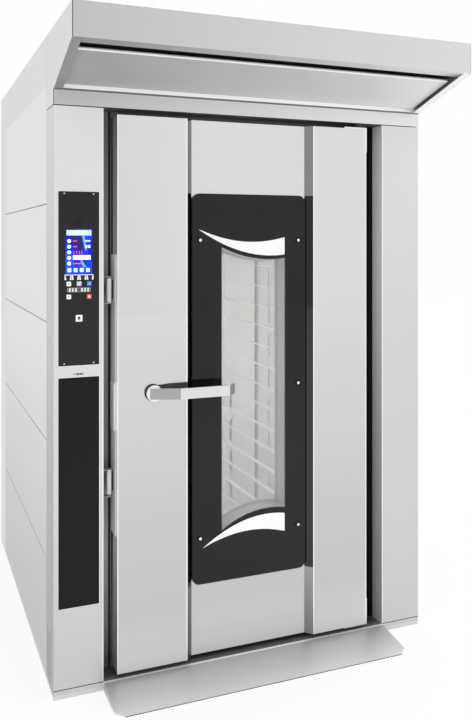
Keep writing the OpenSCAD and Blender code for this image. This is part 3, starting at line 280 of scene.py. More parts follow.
def plastic(name, tone, roughness=0.4, bump=0.05, shine=0.5, spread=0.03):
    """Moulded plastic, powder coat or print."""
    made = Shader(name)
    made.set(Specular_IOR_Level=shine)
    made.vary_colour(tone, spread, scale=30)
    made.vary_roughness(roughness - 0.06, roughness + 0.06, scale=120)
    made.grain(bump, scale=700, edge=0.5 * MM)
    return made.material


def black_glass(name, tone):
    """Black print behind clear glass, with a faint haze."""
    made = Shader(name)
    made.set(Specular_IOR_Level=0.3)
    made.vary_colour(tone, spread=0.2, scale=2.2)
    made.vary_roughness(0.03, 0.09, scale=6)
    made.grain(strength=0.004, scale=4, distance=1 * MM, edge=0.8 * MM)
    return made.material


def clear_glass(name, tone):
    """Thin pane that lets most light through and keeps a soft shine."""
    made = Shader(name)
    made.set(Alpha=0.12, Specular_IOR_Level=0.5)
    made.vary_colour(tone, spread=0.05, scale=3)
    made.vary_roughness(0.02, 0.06, scale=5)
    return made.material


def screen_picture(name, deep, pale):
    """Lit screen that drifts from a deep tone to a pale one."""
    made = Shader(name)
    made.set(Roughness=0.2, Emission_Strength=0.75, Specular_IOR_Level=0.2)
    blotches = made.noise(scale=1, stretch=(30, 30, 12))
    picture = made.ramp(blotches, deep, pale, start=0.36, end=0.66)
    made.set(Base_Color=picture, Emission_Color=picture)
    return made.material


def lit(name, tone, glow=0.5):
    """Lit mark on the screen."""
    made = Shader(name)
    made.set(Roughness=0.3, Emission_Color=tone, Emission_Strength=glow)
    made.vary_colour(tone, spread=0.04, scale=300)
    return made.material


def lamp_cover(name, tone):
    """Lit ribbed glass."""
    made = Shader(name)
    made.set(Roughness=0.45, Emission_Color=tone, Emission_Strength=1.6)
    made.vary_colour(tone, spread=0.03, scale=60, stretch=(1, 1, 0.2))
    made.grain(strength=0.1, scale=500)
    return made.material


def wool(name, tone):
    """Layered fibre board."""
    made = Shader(name)
    made.set(Roughness=0.95)
    layers = (1, 1, 5)
    made.vary_colour(tone, spread=0.18, scale=60, detail=5, stretch=layers)
    made.grain(strength=0.8, scale=240, stretch=layers, distance=2 * MM)
    return made.material


def rubber(name, tone):
    """Matt rubber."""
    made = Shader(name)
    made.vary_colour(tone, spread=0.1, scale=80)
    made.vary_roughness(0.5, 0.68, scale=200)
    made.grain(strength=0.12, scale=600)
    return made.material


def floor_paint(name, tone):
    """Pale floor that glows for the camera and in mirrors, but keeps the oven's shadow."""
    made = Shader(name)
    made.set(Roughness=0.9, Specular_IOR_Level=0.1)
    made.vary_colour(tone, spread=0.01, scale=0.5)
    glow_share = 0.72
    glow = made.add("ShaderNodeEmission", {"Color": even(1), "Strength": 1.12})
    mask = made.calculate("MULTIPLY", made.seen_by("Camera", "Glossy"), glow_share)
    blend = made.add("ShaderNodeMixShader", {0: mask, 1: (made.surface, "BSDF"),
                                             2: (glow, "Emission")})
    made.feed(made.output, "Surface", (blend, "Shader"))
    return made.material


# ---- Tones, and tests for the faces and strips with painted highlights and shade ----

def grey(level):
    """A grey as it looks on the screen, with a trace of blue."""
    return srgb(level, level, min(level + 1, 255))


def greys(axis, *stops):
    """A drift of greys along an axis, through (place, level) stops."""
    return (axis, *((place, grey(level)) for place, level in stops))


def amounts(axis, *stops):
    """A drift of plain numbers along an axis, through (place, amount) stops."""
    return (axis, *((place, even(amount)) for place, amount in stops))


def facing(axis, part, reach=0.1):
    """The faces whose normal has the given part along an axis."""
    return ("Normal", axis, part, reach)


def near(axis, place, reach=2 * MM):
    """The places near one coordinate."""
    return ("Object", axis, place, reach)


def strip(node, side, reach=2 * MM, inset=1.5 * MM):
    """The strip along the left (0) or right (1) edge of a node."""
    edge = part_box(node)[side].x
    return near("X", edge + (inset if side == 0 else -inset), reach)


def glass_heights():
    """The heights between the lower and the upper end of the black glass."""
    low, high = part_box("window_mask")
    return near("Z", (low.z + high.z) / 2, (high.z - low.z) / 2)


def folds():
    """The strips of the door's front along the two folds beside the glass."""
    low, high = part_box("window_mask")
    from_glass = 26 * MM
    return [near("X", x) for x in (low.x - from_glass, high.x + from_glass)]


FACES_FRONT = facing("Y", -1)
FACES_LEFT = facing("X", -1)
FACES_DOWN = facing("Z", -1)
FACES_UP = facing("Z", 1)
SLOPES_DOWN = facing("Z", -0.87)
LEANS_LEFT = facing("X", -0.6, 0.35)
LEANS_RIGHT = facing("X", 0.6, 0.35)
# Tones of the painted highlights and of the painted black shadow strip
WHITE = grey(255)
BLACK = srgb(16, 16, 17)

# The material of each slot
SHADES = {
    "stainless": sheet_steel("stainless", srgb(222, 222, 223)),
    "stainless_liner": sheet_steel("stainless_liner", srgb(222, 221, 218), metallic=0.55,
                                   edge=0.0),
    "bright_steel": bright_steel("bright_steel", srgb(240, 240, 241)),
    "dark_steel": dull_metal("dark_steel", srgb(64, 64, 67), metallic=0.6),
    "black_steel": dull_metal("black_steel", srgb(26, 26, 27), bump=0.1, scale=500),
    "galvanised": galvanised("galvanised", srgb(196, 200, 204)),
    "rack_steel": sheet_steel("rack_steel", srgb(226, 226, 227), roughness=0.28,
                              metallic=0.7, edge=1.5 * MM),
    "iron": dull_metal("iron", srgb(72, 66, 62), roughness=0.78, metallic=0.3,
                       bump=0.6, scale=160),
    "motor_paint": dull_metal("motor_paint", srgb(96, 116, 136), roughness=0.42,
                              metallic=0.1, scale=420),
    "mineral_wool": wool("mineral_wool", srgb(196, 178, 110)),
    "black_panel": plastic("black_panel", srgb(30, 30, 32), roughness=0.42, shine=0.28),
    "black_glass": black_glass("black_glass", srgb(22, 22, 24)),
    "clear_glass": clear_glass("clear_glass", srgb(228, 231, 232)),
    "screen": screen_picture("screen", srgb(8, 10, 168), srgb(30, 84, 246)),
    "lamp_glass": lamp_cover("lamp_glass", srgb(255, 244, 220)),
    "nylon": plastic("nylon", srgb(226, 226, 225), roughness=0.45, bump=0.06),
    "wheel_nylon": plastic("wheel_nylon", srgb(34, 34, 36), roughness=0.5, bump=0.1),
    "black_rubber": rubber("black_rubber", srgb(26, 26, 27)),
    "key_dark": plastic("key_dark", srgb(24, 24, 26)),
    "key_white": plastic("key_white", srgb(252, 253, 253)),
    "key_blue": plastic("key_blue", srgb(62, 142, 252)),
    "key_red": plastic("key_red", srgb(238, 104, 108)),
}

# Nodes that look unlike the rest of their slot. Steel mirrors what stands round it, so each sheet
# has its own painted shading:
# drifts of tone for painted reflection and shade, and painted highlights and shade laid over some
# faces and strips
OWN_SHADE = {
    # Painted shade: darker towards the left, a drift on the undersides, a lighter left side, and
    # a dark line along the front's left edge
    "hood_shell": sheet_steel(
        "hood_steel", greys("X", (-BESIDE_X, 196), (BESIDE_X, 220)), layers=(
            (greys("X", (-BESIDE_X, 156), (0.1, 214), (BESIDE_X, 250)), FACES_DOWN),
            (grey(222), FACES_LEFT),
            (grey(40), FACES_FRONT, strip("hood_shell", 0, 1.5 * MM, 1 * MM)))),
    # Painted shade: darker towards the left, and a painted highlight on the rolled front edge
    "hood_baffle": sheet_steel(
        "baffle_steel", greys("X", (-0.7, 178), (0.7, 238)), roughness=0.5, metallic=0.3, layers=(
            (WHITE, near("Y", BAFFLE_FRONT_Y + 1 * MM)),)),
    # Painted shade: darker towards the left and on the sloping and downward faces, and a painted
    # highlight on the drip lip
    "header": sheet_steel(
        "header_steel", greys("X", (-BESIDE_X, 198), (0.5, 232)), layers=(
            (WHITE, FACES_FRONT, near("Y", DRIP_LIP_Y, 0.5 * MM)),
            (grey(120), SLOPES_DOWN),
            (grey(120), FACES_DOWN))),
    # Painted shade that darkens from the front edge towards the door, a painted highlight at the
    # door's foot, and painted shade on the front lip
    "ramp": sheet_steel(
        "ramp_steel", greys("Y", (RAMP_FRONT_Y, 246), (DOOR_FRONT_Y - 2 * MM, 188),
                            (DOOR_FRONT_Y, 255), (FRONT_Y, 255)),
        roughness=0.45, metallic=0.4, upright=False, layers=((grey(90), FACES_FRONT),)),
    # Painted shadow of the door on the sill's top, darker towards the back
    "base_frame": sheet_steel(
        "base_steel", grey(216), layers=(
            (greys("Y", (FRONT_Y, 150), (FRONT_Y + 40 * MM, 96)), FACES_UP),)),
    # Painted reflection: tone that drifts with height; painted shade on the facets turned aside,
    # darkest beside the black glass that they mirror; painted light on the left side wall;
    # painted highlights along the door's edges and folds
    "door_skin": sheet_steel(
        "door_steel",
        greys("Z", (0.05, 232), (0.12, 210), (0.24, 199), (0.45, 198), (0.9, 207),
              (1.22, 216), (1.3, 222), (1.9, 224)),
        roughness=amounts("Z", (0.15, 0.34), (0.5, 0.05)), metallic=0.9, layers=(
            (grey(126), LEANS_RIGHT),
            (grey(166), LEANS_LEFT),
            (grey(30), LEANS_RIGHT, glass_heights()),
            (grey(64), LEANS_LEFT, glass_heights()),
            (grey(250), FACES_LEFT),
            *((WHITE, FACES_FRONT, edge) for edge in (
                strip("door_skin", 0), strip("door_skin", 1), *folds())))),
    # Light, barely metallic tone: painted light on the door's edge in the shaded gap
    "door_edge": sheet_steel("door_edge_steel", grey(246), roughness=0.4, metallic=0.2),
    # Painted shade that drifts with height, and a painted black shadow strip beside the door's
    # left edge
    "door_landing": sheet_steel(
        "landing_steel",
        greys("Z", (0.05, 100), (0.45, 176), (0.75, 136), (1.4, 158), (1.9, 120)),
        roughness=0.5, metallic=0.3,
        layers=((BLACK, FACES_FRONT, strip("door_skin", 0, 4 * MM, -5 * MM)),)),
    # One grey set for how light falls in the window's recess: painted shade
    "window_reveal": sheet_steel("reveal_steel", grey(186), roughness=0.4, metallic=0.4),
    # Painted shade on the band's faces turned aside, darker on the left
    "handle_band": bright_steel("band_steel", grey(224), layers=(
        (grey(170), LEANS_LEFT), (grey(206), LEANS_RIGHT))),
    # Painted shade that lightens with height, darker on the left side, and a painted highlight
    # along the front's right edge
    "column_left": sheet_steel(
        "column_left_steel", greys("Z", (0.0, 202), (0.5, 207), (1.9, 231)), layers=(
            (greys("Z", (0.25, 149), (0.7, 156), (1.3, 188), (1.85, 213)), FACES_LEFT),
            (WHITE, FACES_FRONT, strip("column_left", 1)))),
    # Painted shade that lightens with height, on the front and on the jamb, and a painted
    # highlight along the front's left edge
    "column_right": sheet_steel(
        "column_right_steel", greys("Z", (0.0, 204), (0.8, 203), (1.2, 210), (1.9, 222)),
        roughness=0.4, metallic=0.2, layers=(
            (greys("Z", (0.1, 196), (0.6, 206), (1.1, 232), (1.7, 252)), FACES_LEFT),
            (WHITE, FACES_FRONT, strip("column_right", 0)))),
    # Painted shade that lightens with height
    "side_panels": sheet_steel(
        "side_steel",
        greys("Z", (0.1, 184), (0.4, 191), (0.74, 206), (1.07, 224), (1.35, 233))),
    "plain_panel": plastic("plain_black", srgb(14, 14, 15), roughness=0.42, shine=0.2),
    "door_keepers": dull_metal("keeper_steel", grey(150), metallic=0.4, bump=0.1),
}

# Materials of the pieces below
# Rim steel with its tone pushed to white: painted highlight
RIM_STEEL = sheet_steel("rim_steel", WHITE, metallic=0.6)
PRINT_WHITE = plastic("print_white", srgb(250, 250, 250), bump=0.0, shine=0.3, spread=0.006)
GLYPH_DARK = plastic("glyph_dark", srgb(20, 22, 26), roughness=0.5, bump=0.02)
GLYPH_GREY = plastic("glyph_grey", srgb(118, 120, 122), roughness=0.5, bump=0.02)
BAR_GREY = plastic("bar_grey", srgb(150, 150, 150), roughness=0.45, bump=0.08)
LIT_WHITE = lit("lit_white", srgb(250, 252, 255), glow=0.55)
LIT_PALE = lit("lit_pale", srgb(196, 222, 255))
LIT_RED = lit("lit_red", srgb(240, 90, 90), glow=0.4)
LIT_NAVY = lit("lit_navy", srgb(8, 8, 52), glow=0.6)
LIT_SKY = lit("lit_sky", srgb(96, 160, 255))
# Black of the screw washers, and painted shade for the dark sheets on the handle, the boss, the
# landing and behind the vent
DARK_PARTS_AND_PAINTED_SHADE = plastic("dark_parts_and_painted_shade", srgb(14, 14, 15), roughness=0.6, shine=0.12)
DEEP_BLACK = plastic("deep_black", srgb(4, 4, 5), roughness=0.8, shine=0.02)
# Painted shade of the hood's inside
HOOD_INSIDE_SHADE = plastic("hood_inside_painted_shade_tone", srgb(70, 70, 72), roughness=0.7, shine=0.1)
# Dark of the plinth joint, and painted shadow behind the side panels' seams
SEAM_DARK_AND_PAINTED_SHADOW = rubber("seam_dark_and_painted_shadow", srgb(40, 40, 42))


def dress_nodes():
    """Gives each node of the frame its own material, or else its slot's."""
    for node, slot in SLOT_OF.items():
        mesh = frame["nodes"][node].data
        mesh.materials.clear()
        mesh.materials.append(OWN_SHADE[node] if node in OWN_SHADE else SHADES[slot])


# ---- Mesh building ----

def add_to_scene(name, data):
    made = bpy.data.objects.new(name, data)
    bpy.context.scene.collection.objects.link(made)
    return made


def shade_smooth(mesh, sharp_from):
    """Smooth shading that keeps edges above an angle in degrees sharp."""
    mesh.shade_smooth()
    mesh.set_sharp_from_angle(angle=math.radians(sharp_from))


def piece(name, mesh_builder, body, shade, smooth=False):
    """Makes a mesh object from a function that fills a bmesh, and lets it ride on a body."""
    mesh = bpy.data.meshes.new(name)
    bm = bmesh.new()
    mesh_builder(bm)
    bmesh.ops.recalc_face_normals(bm, faces=bm.faces)
    bm.to_mesh(mesh)
    bm.free()
    made = add_to_scene(name, mesh)
    mesh.materials.append(shade)
    if smooth:
        shade_smooth(mesh, 35)
    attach(made, body)
    return made


def soften(made, width):
    """Rounds a piece's edges for good."""
    bevel = made.modifiers.new("soft", "BEVEL")
    bevel.width = width
    bevel.segments = 2
    bevel.limit_method = "ANGLE"
    shade_smooth(made.data, 40)


def walls(bm, a, b):
    """The faces between two loops of as many points."""
    for i in range(len(a)):
        j = (i + 1) % len(a)
        bm.faces.new((a[i], a[j], b[j], b[i]))


def prism(bm, outline, start, end, axis=Y):
    """A closed solid between two places on an axis, its outline in the other two axes."""
    first, last = ([bm.verts.new(point[:axis] + (place,) + point[axis:]) for point in outline]
                   for place in (start, end))
    bm.faces.new(first)
    bm.faces.new(last[::-1])
    walls(bm, first, last)


def ring(bm, outer, inner, front, back):
    """A frame between two outlines in X and Z of as many points, from one depth to another."""
    loops = [[bm.verts.new((x, y, z)) for x, z in line]
             for line, y in ((outer, back), (outer, front), (inner, front), (inner, back))]
    for a, b in zip(loops, loops[1:] + loops[:1]):
        walls(bm, a, b)


def box(bm, low, high):
    made = bmesh.ops.create_cube(bm, size=1.0)
    low, high = Vector(low), Vector(high)
    bmesh.ops.scale(bm, vec=high - low, verts=made["verts"])
    bmesh.ops.translate(bm, vec=(low + high) / 2, verts=made["verts"])


def lathe(bm, profile, centre, axis, steps=28):
    """Spins a profile of (radius, height) pairs round an axis through centre."""
    axis = Vector(axis).normalized()
    side = axis.orthogonal().normalized()
    other = axis.cross(side)
    turns = [math.tau * i / steps for i in range(steps)]
    rings = []
    for r, h in profile:
        middle = Vector(centre) + axis * h
        places = [middle + r * (side * math.cos(turn) + other * math.sin(turn))
                  for turn in turns] if r else [middle]
        rings.append([bm.verts.new(place) for place in places])
    for a, b in zip(rings, rings[1:]):
        for i in range(steps):
            j = (i + 1) % steps
            loop = [a[i % len(a)], a[j % len(a)], b[j % len(b)], b[i % len(b)]]
            corners = [v for k, v in enumerate(loop) if v not in loop[:k]]
            if len(corners) > 2:
                bm.faces.new(corners)


def rounded(x0, z0, x1, z1, r, steps=5):
    """A rectangle with round corners, as points in X and Z."""
    corners = ((x1 - r, z1 - r, 0), (x0 + r, z1 - r, 90), (x0 + r, z0 + r, 180),
               (x1 - r, z0 + r, 270))
    return [(cx + r * math.cos(math.radians(start + 90 * i / steps)),
             cz + r * math.sin(math.radians(start + 90 * i / steps)))
            for cx, cz, start in corners for i in range(steps + 1)]


def circle(x, z, r, steps):
    """Points in X and Z."""
    return [(x + r * math.cos(math.tau * i / steps), z + r * math.sin(math.tau * i / steps))
            for i in range(steps)]


def flat(name, outline, y, thickness, body, shade):
    """A thin print or plate that stands in front of a face at depth y."""
    return piece(name, lambda bm: prism(bm, outline, y - thickness, y), body, shade)


def middle(node):
    """The middle of a node's box."""
    low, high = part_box(node)
    return (Vector(low) + Vector(high)) / 2


def panel_face(node):
    """The depth at which the plate of a black front ends, behind its keys."""
    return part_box(node)[1].y - PANEL_T


def centres(node):
    """The middles in X and Z of the small pieces that make up a node."""
    reach = 25 * MM
    groups = []
    for vertex in frame["nodes"][node].data.vertices:
        place = vertex.co
        for group in groups:
            if math.hypot(group[0].x - place.x, group[0].z - place.z) < reach:
                group.append(place)
                break
        else:
            groups.append([place])
    return [((min(p.x for p in group) + max(p.x for p in group)) / 2,
             (min(p.z for p in group) + max(p.z for p in group)) / 2) for group in groups]


def screws(name, places, axis, body, r):
    """Low domed screw heads with a sunk socket, all in one piece."""
    head = [(0, 0.1 * r), (0.3 * r, 0.1 * r), (0.42 * r, 0.45 * r), (0.8 * r, 0.38 * r),
            (r, 0.1 * r), (r, -0.1 * r), (0, -0.1 * r)]

    def build(bm):
        for place in places:
            lathe(bm, head, place, axis, 16)
    piece(name, build, body, SHADES["bright_steel"], smooth=True)


# ---- The door's glass ----

def bow(x, middle_x, height, rise):
    """A shallow arch: the height at its middle, and its rise for each square metre."""
    return height + rise * (x - middle_x) ** 2


def crescent(name, tip, end, upper, lower):
    """White print on the glass between two shallow arches, from its tip to the window's edge."""
    low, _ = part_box("window_mask")
    steps = 28
    xs = [tip[0] + (end - tip[0]) * i / steps for i in range(1, steps + 1)]
    points = [tip] + [(x, bow(x, *upper)) for x in xs] + [(x, bow(x, *lower)) for x in xs[::-1]]
    outline = [(low.x + x, low.z + z) for x, z in points]
    flat(name, outline, low.y, 0.25 * MM, "door", PRINT_WHITE)


def window_prints():
    """Two crescents above and below the clear window, measured from the glass's corner."""
    window_edge = 0.361
    crescent("crescent_upper", (0.024, 1.259), window_edge,
             (0.232, 1.216, 1.05), (0.308, 1.166, 1.17))
    crescent("crescent_lower", (0.038, 0.127), window_edge,
             (0.295, 0.219, -1.4), (0.225, 0.168, -1.18))


def screw_washers():
    """Black washers round the heads on the glass, with a bright core left open."""
    head_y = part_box("pane_screws")[0].y
    front, back = head_y - 0.3 * MM, head_y + 2 * MM
    r, width, steps = 10.2 * MM, 4 * MM, 32
    for i, (x, z) in enumerate(centres("pane_screws")):
        outer, inner = circle(x, z, r, steps), circle(x, z, r - width, steps)
        piece(f"screw_washer_{i + 1}", lambda bm: ring(bm, outer, inner, front, back),
              "door", DARK_PARTS_AND_PAINTED_SHADE)


# ---- The black fronts on the left column ----

def panel_rims():
    """Thin bright rims of the two black fronts."""
    width, rise = 2 * MM, 1.8 * MM
    for name, node in (("upper", "control_panel"), ("lower", "plain_panel")):
        low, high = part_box(node)
        outer = rounded(low.x - width, low.z - width, high.x + width, high.z + width, 3 * MM)
        inner = rounded(low.x, low.z, high.x, high.z, 2 * MM)
        piece(f"panel_rim_{name}", lambda bm: ring(bm, outer, inner, high.y - rise, high.y),
              "cabinet", RIM_STEEL)


def panel_screws():
    """The upper front's four screws."""
    low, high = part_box("control_panel")
    inset_x, inset_z = 19 * MM, 7 * MM
    places = [(x, panel_face("control_panel"), z) for x in (low.x + inset_x, high.x - inset_x)
              for z in (low.z + inset_z, high.z - inset_z)]
    screws("panel_screws", places, FRONT, "cabinet", 2.8 * MM)


def on_screen(u, v):
    """The X and Z of a place given in parts of the screen's width and height."""
    low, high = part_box("display")
    return low.x + u * (high.x - low.x), low.z + v * (high.z - low.z)


def screen_print(name, outline, shade, lift=0.0, thickness=0.2 * MM):
    """A mark on the screen, its back lifted from the glass."""
    flat(name, outline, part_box("display")[0].y - lift, thickness, "cabinet", shade)


def screen_shape(name, points, shade):
    """A shape of the picture, sunk half into the glass."""
    screen_print(name, [on_screen(u, v) for u, v in points], shade, -0.05 * MM, 0.1 * MM)


def screen_bar(name, u0, v0, u1, v1, shade, r=1.0 * MM):
    """A bar with round ends between two places on the screen."""
    screen_print(name, rounded(*on_screen(u0, v0), *on_screen(u1, v1), r, 3), shade)


def screen_background():
    """Dark and pale slanting shapes behind the marks, and the title bar with its round mark."""
    screen_shape("screen_shadow", [(0.20, 0.85), (0.34, 0.85), (0.50, 0.60), (0.44, 0.52),
                                   (0.30, 0.70)], LIT_NAVY)
    screen_shape("screen_shadow_2", [(0.42, 0.85), (0.56, 0.85), (0.70, 0.50), (0.60, 0.46)],
                 LIT_NAVY)
    screen_shape("screen_streak", [(0.62, 0.85), (0.70, 0.85), (0.80, 0.55), (0.74, 0.52)],
                 LIT_SKY)
    screen_shape("screen_streak_2", [(0.55, 0.31), (0.62, 0.31), (0.78, 0.15), (0.66, 0.15)],
                 LIT_SKY)
    screen_bar("screen_title", 0.03, 0.86, 0.97, 0.975, LIT_PALE)
    x, z = on_screen(0.85, 0.915)
    screen_print("screen_round", circle(x, z, 5.4 * MM, 18), SHADES["key_blue"], 0.2 * MM,
                 0.1 * MM)
    screen_print("screen_round_core", circle(x, z, 3.4 * MM, 16), LIT_WHITE, 0.3 * MM,
                 0.1 * MM)


def screen_marks():
    """Plain marks on the screen: a field, discs, dashes, ticks, tabs and values."""
    screen_bar("screen_field", 0.27, 0.32, 0.94, 0.42, LIT_WHITE)
    for i in range(5):
        disc = circle(*on_screen(0.13, 0.235 + 0.125 * i), 6.2 * MM, 18)
        screen_print(f"screen_mark_{i + 1}", disc, LIT_WHITE)
    half = 0.012
    for i, (u0, v, u1) in enumerate(((0.27, 0.735, 0.42), (0.27, 0.61, 0.44),
                                     (0.27, 0.235, 0.62))):
        screen_bar(f"screen_dash_{i + 1}", u0, v - half, u1, v + half, LIT_RED, 0.6 * MM)
    for i in range(4):
        u, top = 0.30 + 0.1 * i, 0.50 + 0.012 * i
        screen_bar(f"screen_tick_{i + 1}", u, 0.45, u + 0.025, top, LIT_RED, 0.5 * MM)
    for i in range(4):
        u = 0.06 + 0.235 * i
        screen_bar(f"screen_tab_{i + 1}", u, 0.045, u + 0.15, 0.135, LIT_PALE, 2 * MM)
    for i, (u0, u1) in enumerate(((0.74, 0.80), (0.83, 0.93))):
        screen_bar(f"screen_value_{i + 1}", u0, 0.585, u1, 0.645, LIT_WHITE, 0.8 * MM)
    screen_bar("screen_value_3", 0.72, 0.72, 0.93, 0.755, LIT_PALE, 0.8 * MM)


# Outlines in millimetres from the key's middle: arrows, a page, a tick, a square and a bulb
KEY_MARKS = {
    "key_up": ([(-2.6, -1.4), (2.6, -1.4), (0, 2)], GLYPH_DARK),
    "key_down": ([(-2.6, 1.4), (0, -2), (2.6, 1.4)], GLYPH_DARK),
    "key_page": ([(-5, -6), (5, -6), (5, 2.5), (2, 6), (-5, 6), (-5, 4.6), (1.2, 4.6), (3.6, 2),
                  (3.6, -4.6), (-3.6, -4.6), (-3.6, 4.4), (-5, 4.4)], GLYPH_DARK),
    "key_ok": ([(-4, 0), (-1.2, -3.4), (4.4, 3), (3.2, 4), (-1.1, -1.2), (-2.8, 1)],
               PRINT_WHITE),
    "key_stop": ([(-3, -3), (3, -3), (3, 3), (-3, 3)], PRINT_WHITE),
    "key_lamp": ([(-2, -6), (2, -6), (2, -2.6), (4.4, 0.6), (4, 4), (0, 6), (-4, 4),
                  (-4.4, 0.6), (-2, -2.6)], GLYPH_DARK),
}


def key_mark(key, outline, shade, part="mark"):
    """A raised print on a key, which it moves with."""
    centre = middle(key)
    flat(f"{key}_{part}", [(centre.x + x * MM, centre.z + z * MM) for x, z in outline],
         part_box(key)[0].y, 0.2 * MM, key, shade)


def key_marks():
    """The marks of the plain keys, and the white borders of the four soft keys."""
    for key, (outline, shade) in KEY_MARKS.items():
        key_mark(key, outline, shade)
    for i in range(4):
        key = f"soft_key_{i + 1}"
        for part, s in (("left", -1), ("right", 1)):
            key_mark(key, [(s * 5.5, -9), (s * 11.5, -9), (s * 11.5, 9), (s * 9, 9)],
                     PRINT_WHITE, part)
        key_mark(key, [(-9, 6.4), (9, 6.4), (9, 9), (-9, 9)], PRINT_WHITE, "top")


def level_bar():
    """Strip of small segments between the key rows."""
    up_low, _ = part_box("key_up")
    _, ok_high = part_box("key_ok")
    _, down_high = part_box("key_down")
    x0, x1 = up_low.x + 5 * MM, ok_high.x - 5 * MM
    z0, z1 = down_high.z + 6 * MM, up_low.z - 4 * MM
    border, gap, bed_t = 1 * MM, 1 * MM, 0.3 * MM
    segment_z0, segment_z1 = z0 + 1.6 * MM, z1 - 1.6 * MM
    face = panel_face("control_panel")
    flat("level_bar_bed", rounded(x0 - border, z0, x1 + border, z1, 1 * MM), face, bed_t,
         "cabinet", BAR_GREY)
    count = 15
    pitch = (x1 - x0) / count
    for i in range(count):
        shade = GLYPH_DARK if i == count // 2 else (PRINT_WHITE if i % 2 else GLYPH_GREY)
        outline = rounded(x0 + i * pitch + gap / 2, segment_z0,
                          x0 + (i + 1) * pitch - gap / 2, segment_z1, 0.4 * MM, 2)
        flat(f"level_bar_{i + 1}", outline, face - bed_t, 0.2 * MM, "cabinet", shade)


def sounder():
    """Dark disc above the screen."""
    screen_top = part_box("display")[1].z
    flat("sounder", circle(middle("display").x, screen_top + 23 * MM, 13.6 * MM, 36),
         panel_face("control_panel"), 0.5 * MM, "cabinet", DEEP_BLACK)


def column_slots():
    """A small lamp and three slots in the sheet below the upper front."""
    x, z = middle("display").x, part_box("control_panel")[0].z - 29 * MM
    half_h = 2.8 * MM
    outlines = {"slot_lamp": circle(x - 15 * MM, z, 2.4 * MM, 16)}
    for i, (start, width) in enumerate(((-8, 8), (2, 6), (9.5, 5))):
        x0 = x + start * MM
        outlines[f"slot_{i + 1}"] = rounded(x0, z - half_h, x0 + width * MM, z + half_h,
                                            0.8 * MM, 3)
    for name, outline in outlines.items():
        flat(name, outline, FRONT_Y, 0.3 * MM, "cabinet", SHADES["black_rubber"])


# ---- Handle and latch ----

def handle_back_painted_shade():
    """Dark sheet on the back of the grip band: painted shade of the band's inner side, which the
    door mirrors above the grip.
    """
    low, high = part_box("handle_band")
    boss_low, boss_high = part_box("handle_boss")
    band_t, guard_t = 5 * MM, 8 * MM
    leg_x, grip_x, end_x = boss_high.x + 2 * MM, boss_high.x + 56 * MM, high.x - 38 * MM
    inner = low.y + band_t
    slope = (boss_low.y - inner) / (grip_x - (boss_low.x + 14 * MM))
    leg_y = inner + slope * (grip_x - leg_x)
    outline = [(leg_x, leg_y), (grip_x, inner), (end_x, inner),
               (end_x - 2 * MM, inner + guard_t), (grip_x + 1 * MM, inner + guard_t),
               (leg_x, leg_y + guard_t)]
    made = piece("handle_back_painted_shade", lambda bm: prism(
        bm, outline, low.z + 0.5 * MM, high.z - 0.3 * MM, Z), "handle", DARK_PARTS_AND_PAINTED_SHADE)
    soften(made, 0.6 * MM)


def boss_painted_shade():
    """Dark collar round the foot of the handle's boss: painted shade on the boss's side wall."""
    low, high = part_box("handle_boss")
    centre = middle("handle_boss")
    r, wall, width, slant = (high.x - low.x) / 2, 1.5 * MM, 7 * MM, 0.4 * MM
    door = low.y - DOOR_FRONT_Y
    profile = [(r, door + slant), (r + wall, door + slant), (r + wall, door + width),
               (r, door + width + slant), (r, door + slant)]
    piece("boss_painted_shade", lambda bm: lathe(
        bm, profile, (centre.x, low.y, centre.z), FRONT, 48),
        "handle", DARK_PARTS_AND_PAINTED_SHADE, smooth=True)


def keeper_rollers():
    """Light sleeves on the two rollers that the latch tongues reach behind."""
    low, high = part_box("door_keepers")
    x, y = high.x - 8 * MM, low.y + 18 * MM
    r, chamfer, half, from_end = 8.3 * MM, 1 * MM, 43 * MM, 59 * MM
    profile = [(0, -half), (r - chamfer, -half), (r, -half + chamfer), (r, half - chamfer),
               (r - chamfer, half), (0, half)]
    for name, z in (("lower", low.z + from_end), ("upper", high.z - from_end)):
        piece(f"keeper_roller_{name}", lambda bm: lathe(bm, profile, (x, y, z), UP, 24),
              "cabinet", SHADES["nylon"], smooth=True)


def latch_case_screws():
    """Two screws in the door's edge, beside the handle."""
    low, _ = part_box("door_edge")
    y, z = middle("door_edge").y, middle("handle_boss").z - 5 * MM
    apart, r = 24 * MM, 4 * MM
    places = [(low.x, y + s * apart / 2, z) for s in (-1, 1)]
    screws("latch_case_screws", places, LEFT, "door", r)


# ---- Linings and joints of the cabinet ----

def hood_inside_painted_shade():
    """Dark sheet inside the hood: painted shade of the hood's inside, seen through the slot and
    beside the baffle.
    """
    low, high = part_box("hood_shell")
    baffle_low, baffle_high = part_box("hood_baffle")
    front, back = low.y + 4 * MM, baffle_high.y - 30 * MM
    rise, inset, t = 34 * MM, 4 * MM, 1 * MM
    slope = (HOOD_FRONT_EDGE_Z - baffle_low.z) / (baffle_high.y - low.y)

    def under(y):
        return baffle_low.z + (baffle_high.y - y) * slope + rise
    outline = [(front, under(front)), (back, under(back)), (back, under(back) + t),
               (front, under(front) + t)]
    piece("hood_inside_painted_shade", lambda bm: prism(bm, outline, low.x + inset, high.x - inset, X),
          "cabinet", HOOD_INSIDE_SHADE)


def landing_painted_shadow():
    """Black sheet on the hinge side of the opening: painted shadow in the gap beside the door."""
    low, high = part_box("door_landing")
    width, depth, proud = 15 * MM, 21 * MM, 0.3 * MM
    piece("landing_painted_shadow", lambda bm: box(
        bm, (high.x - width - proud, low.y - proud, low.z + 2 * MM),
        (high.x, low.y + depth, high.z - 1 * MM)), "cabinet", DARK_PARTS_AND_PAINTED_SHADE)


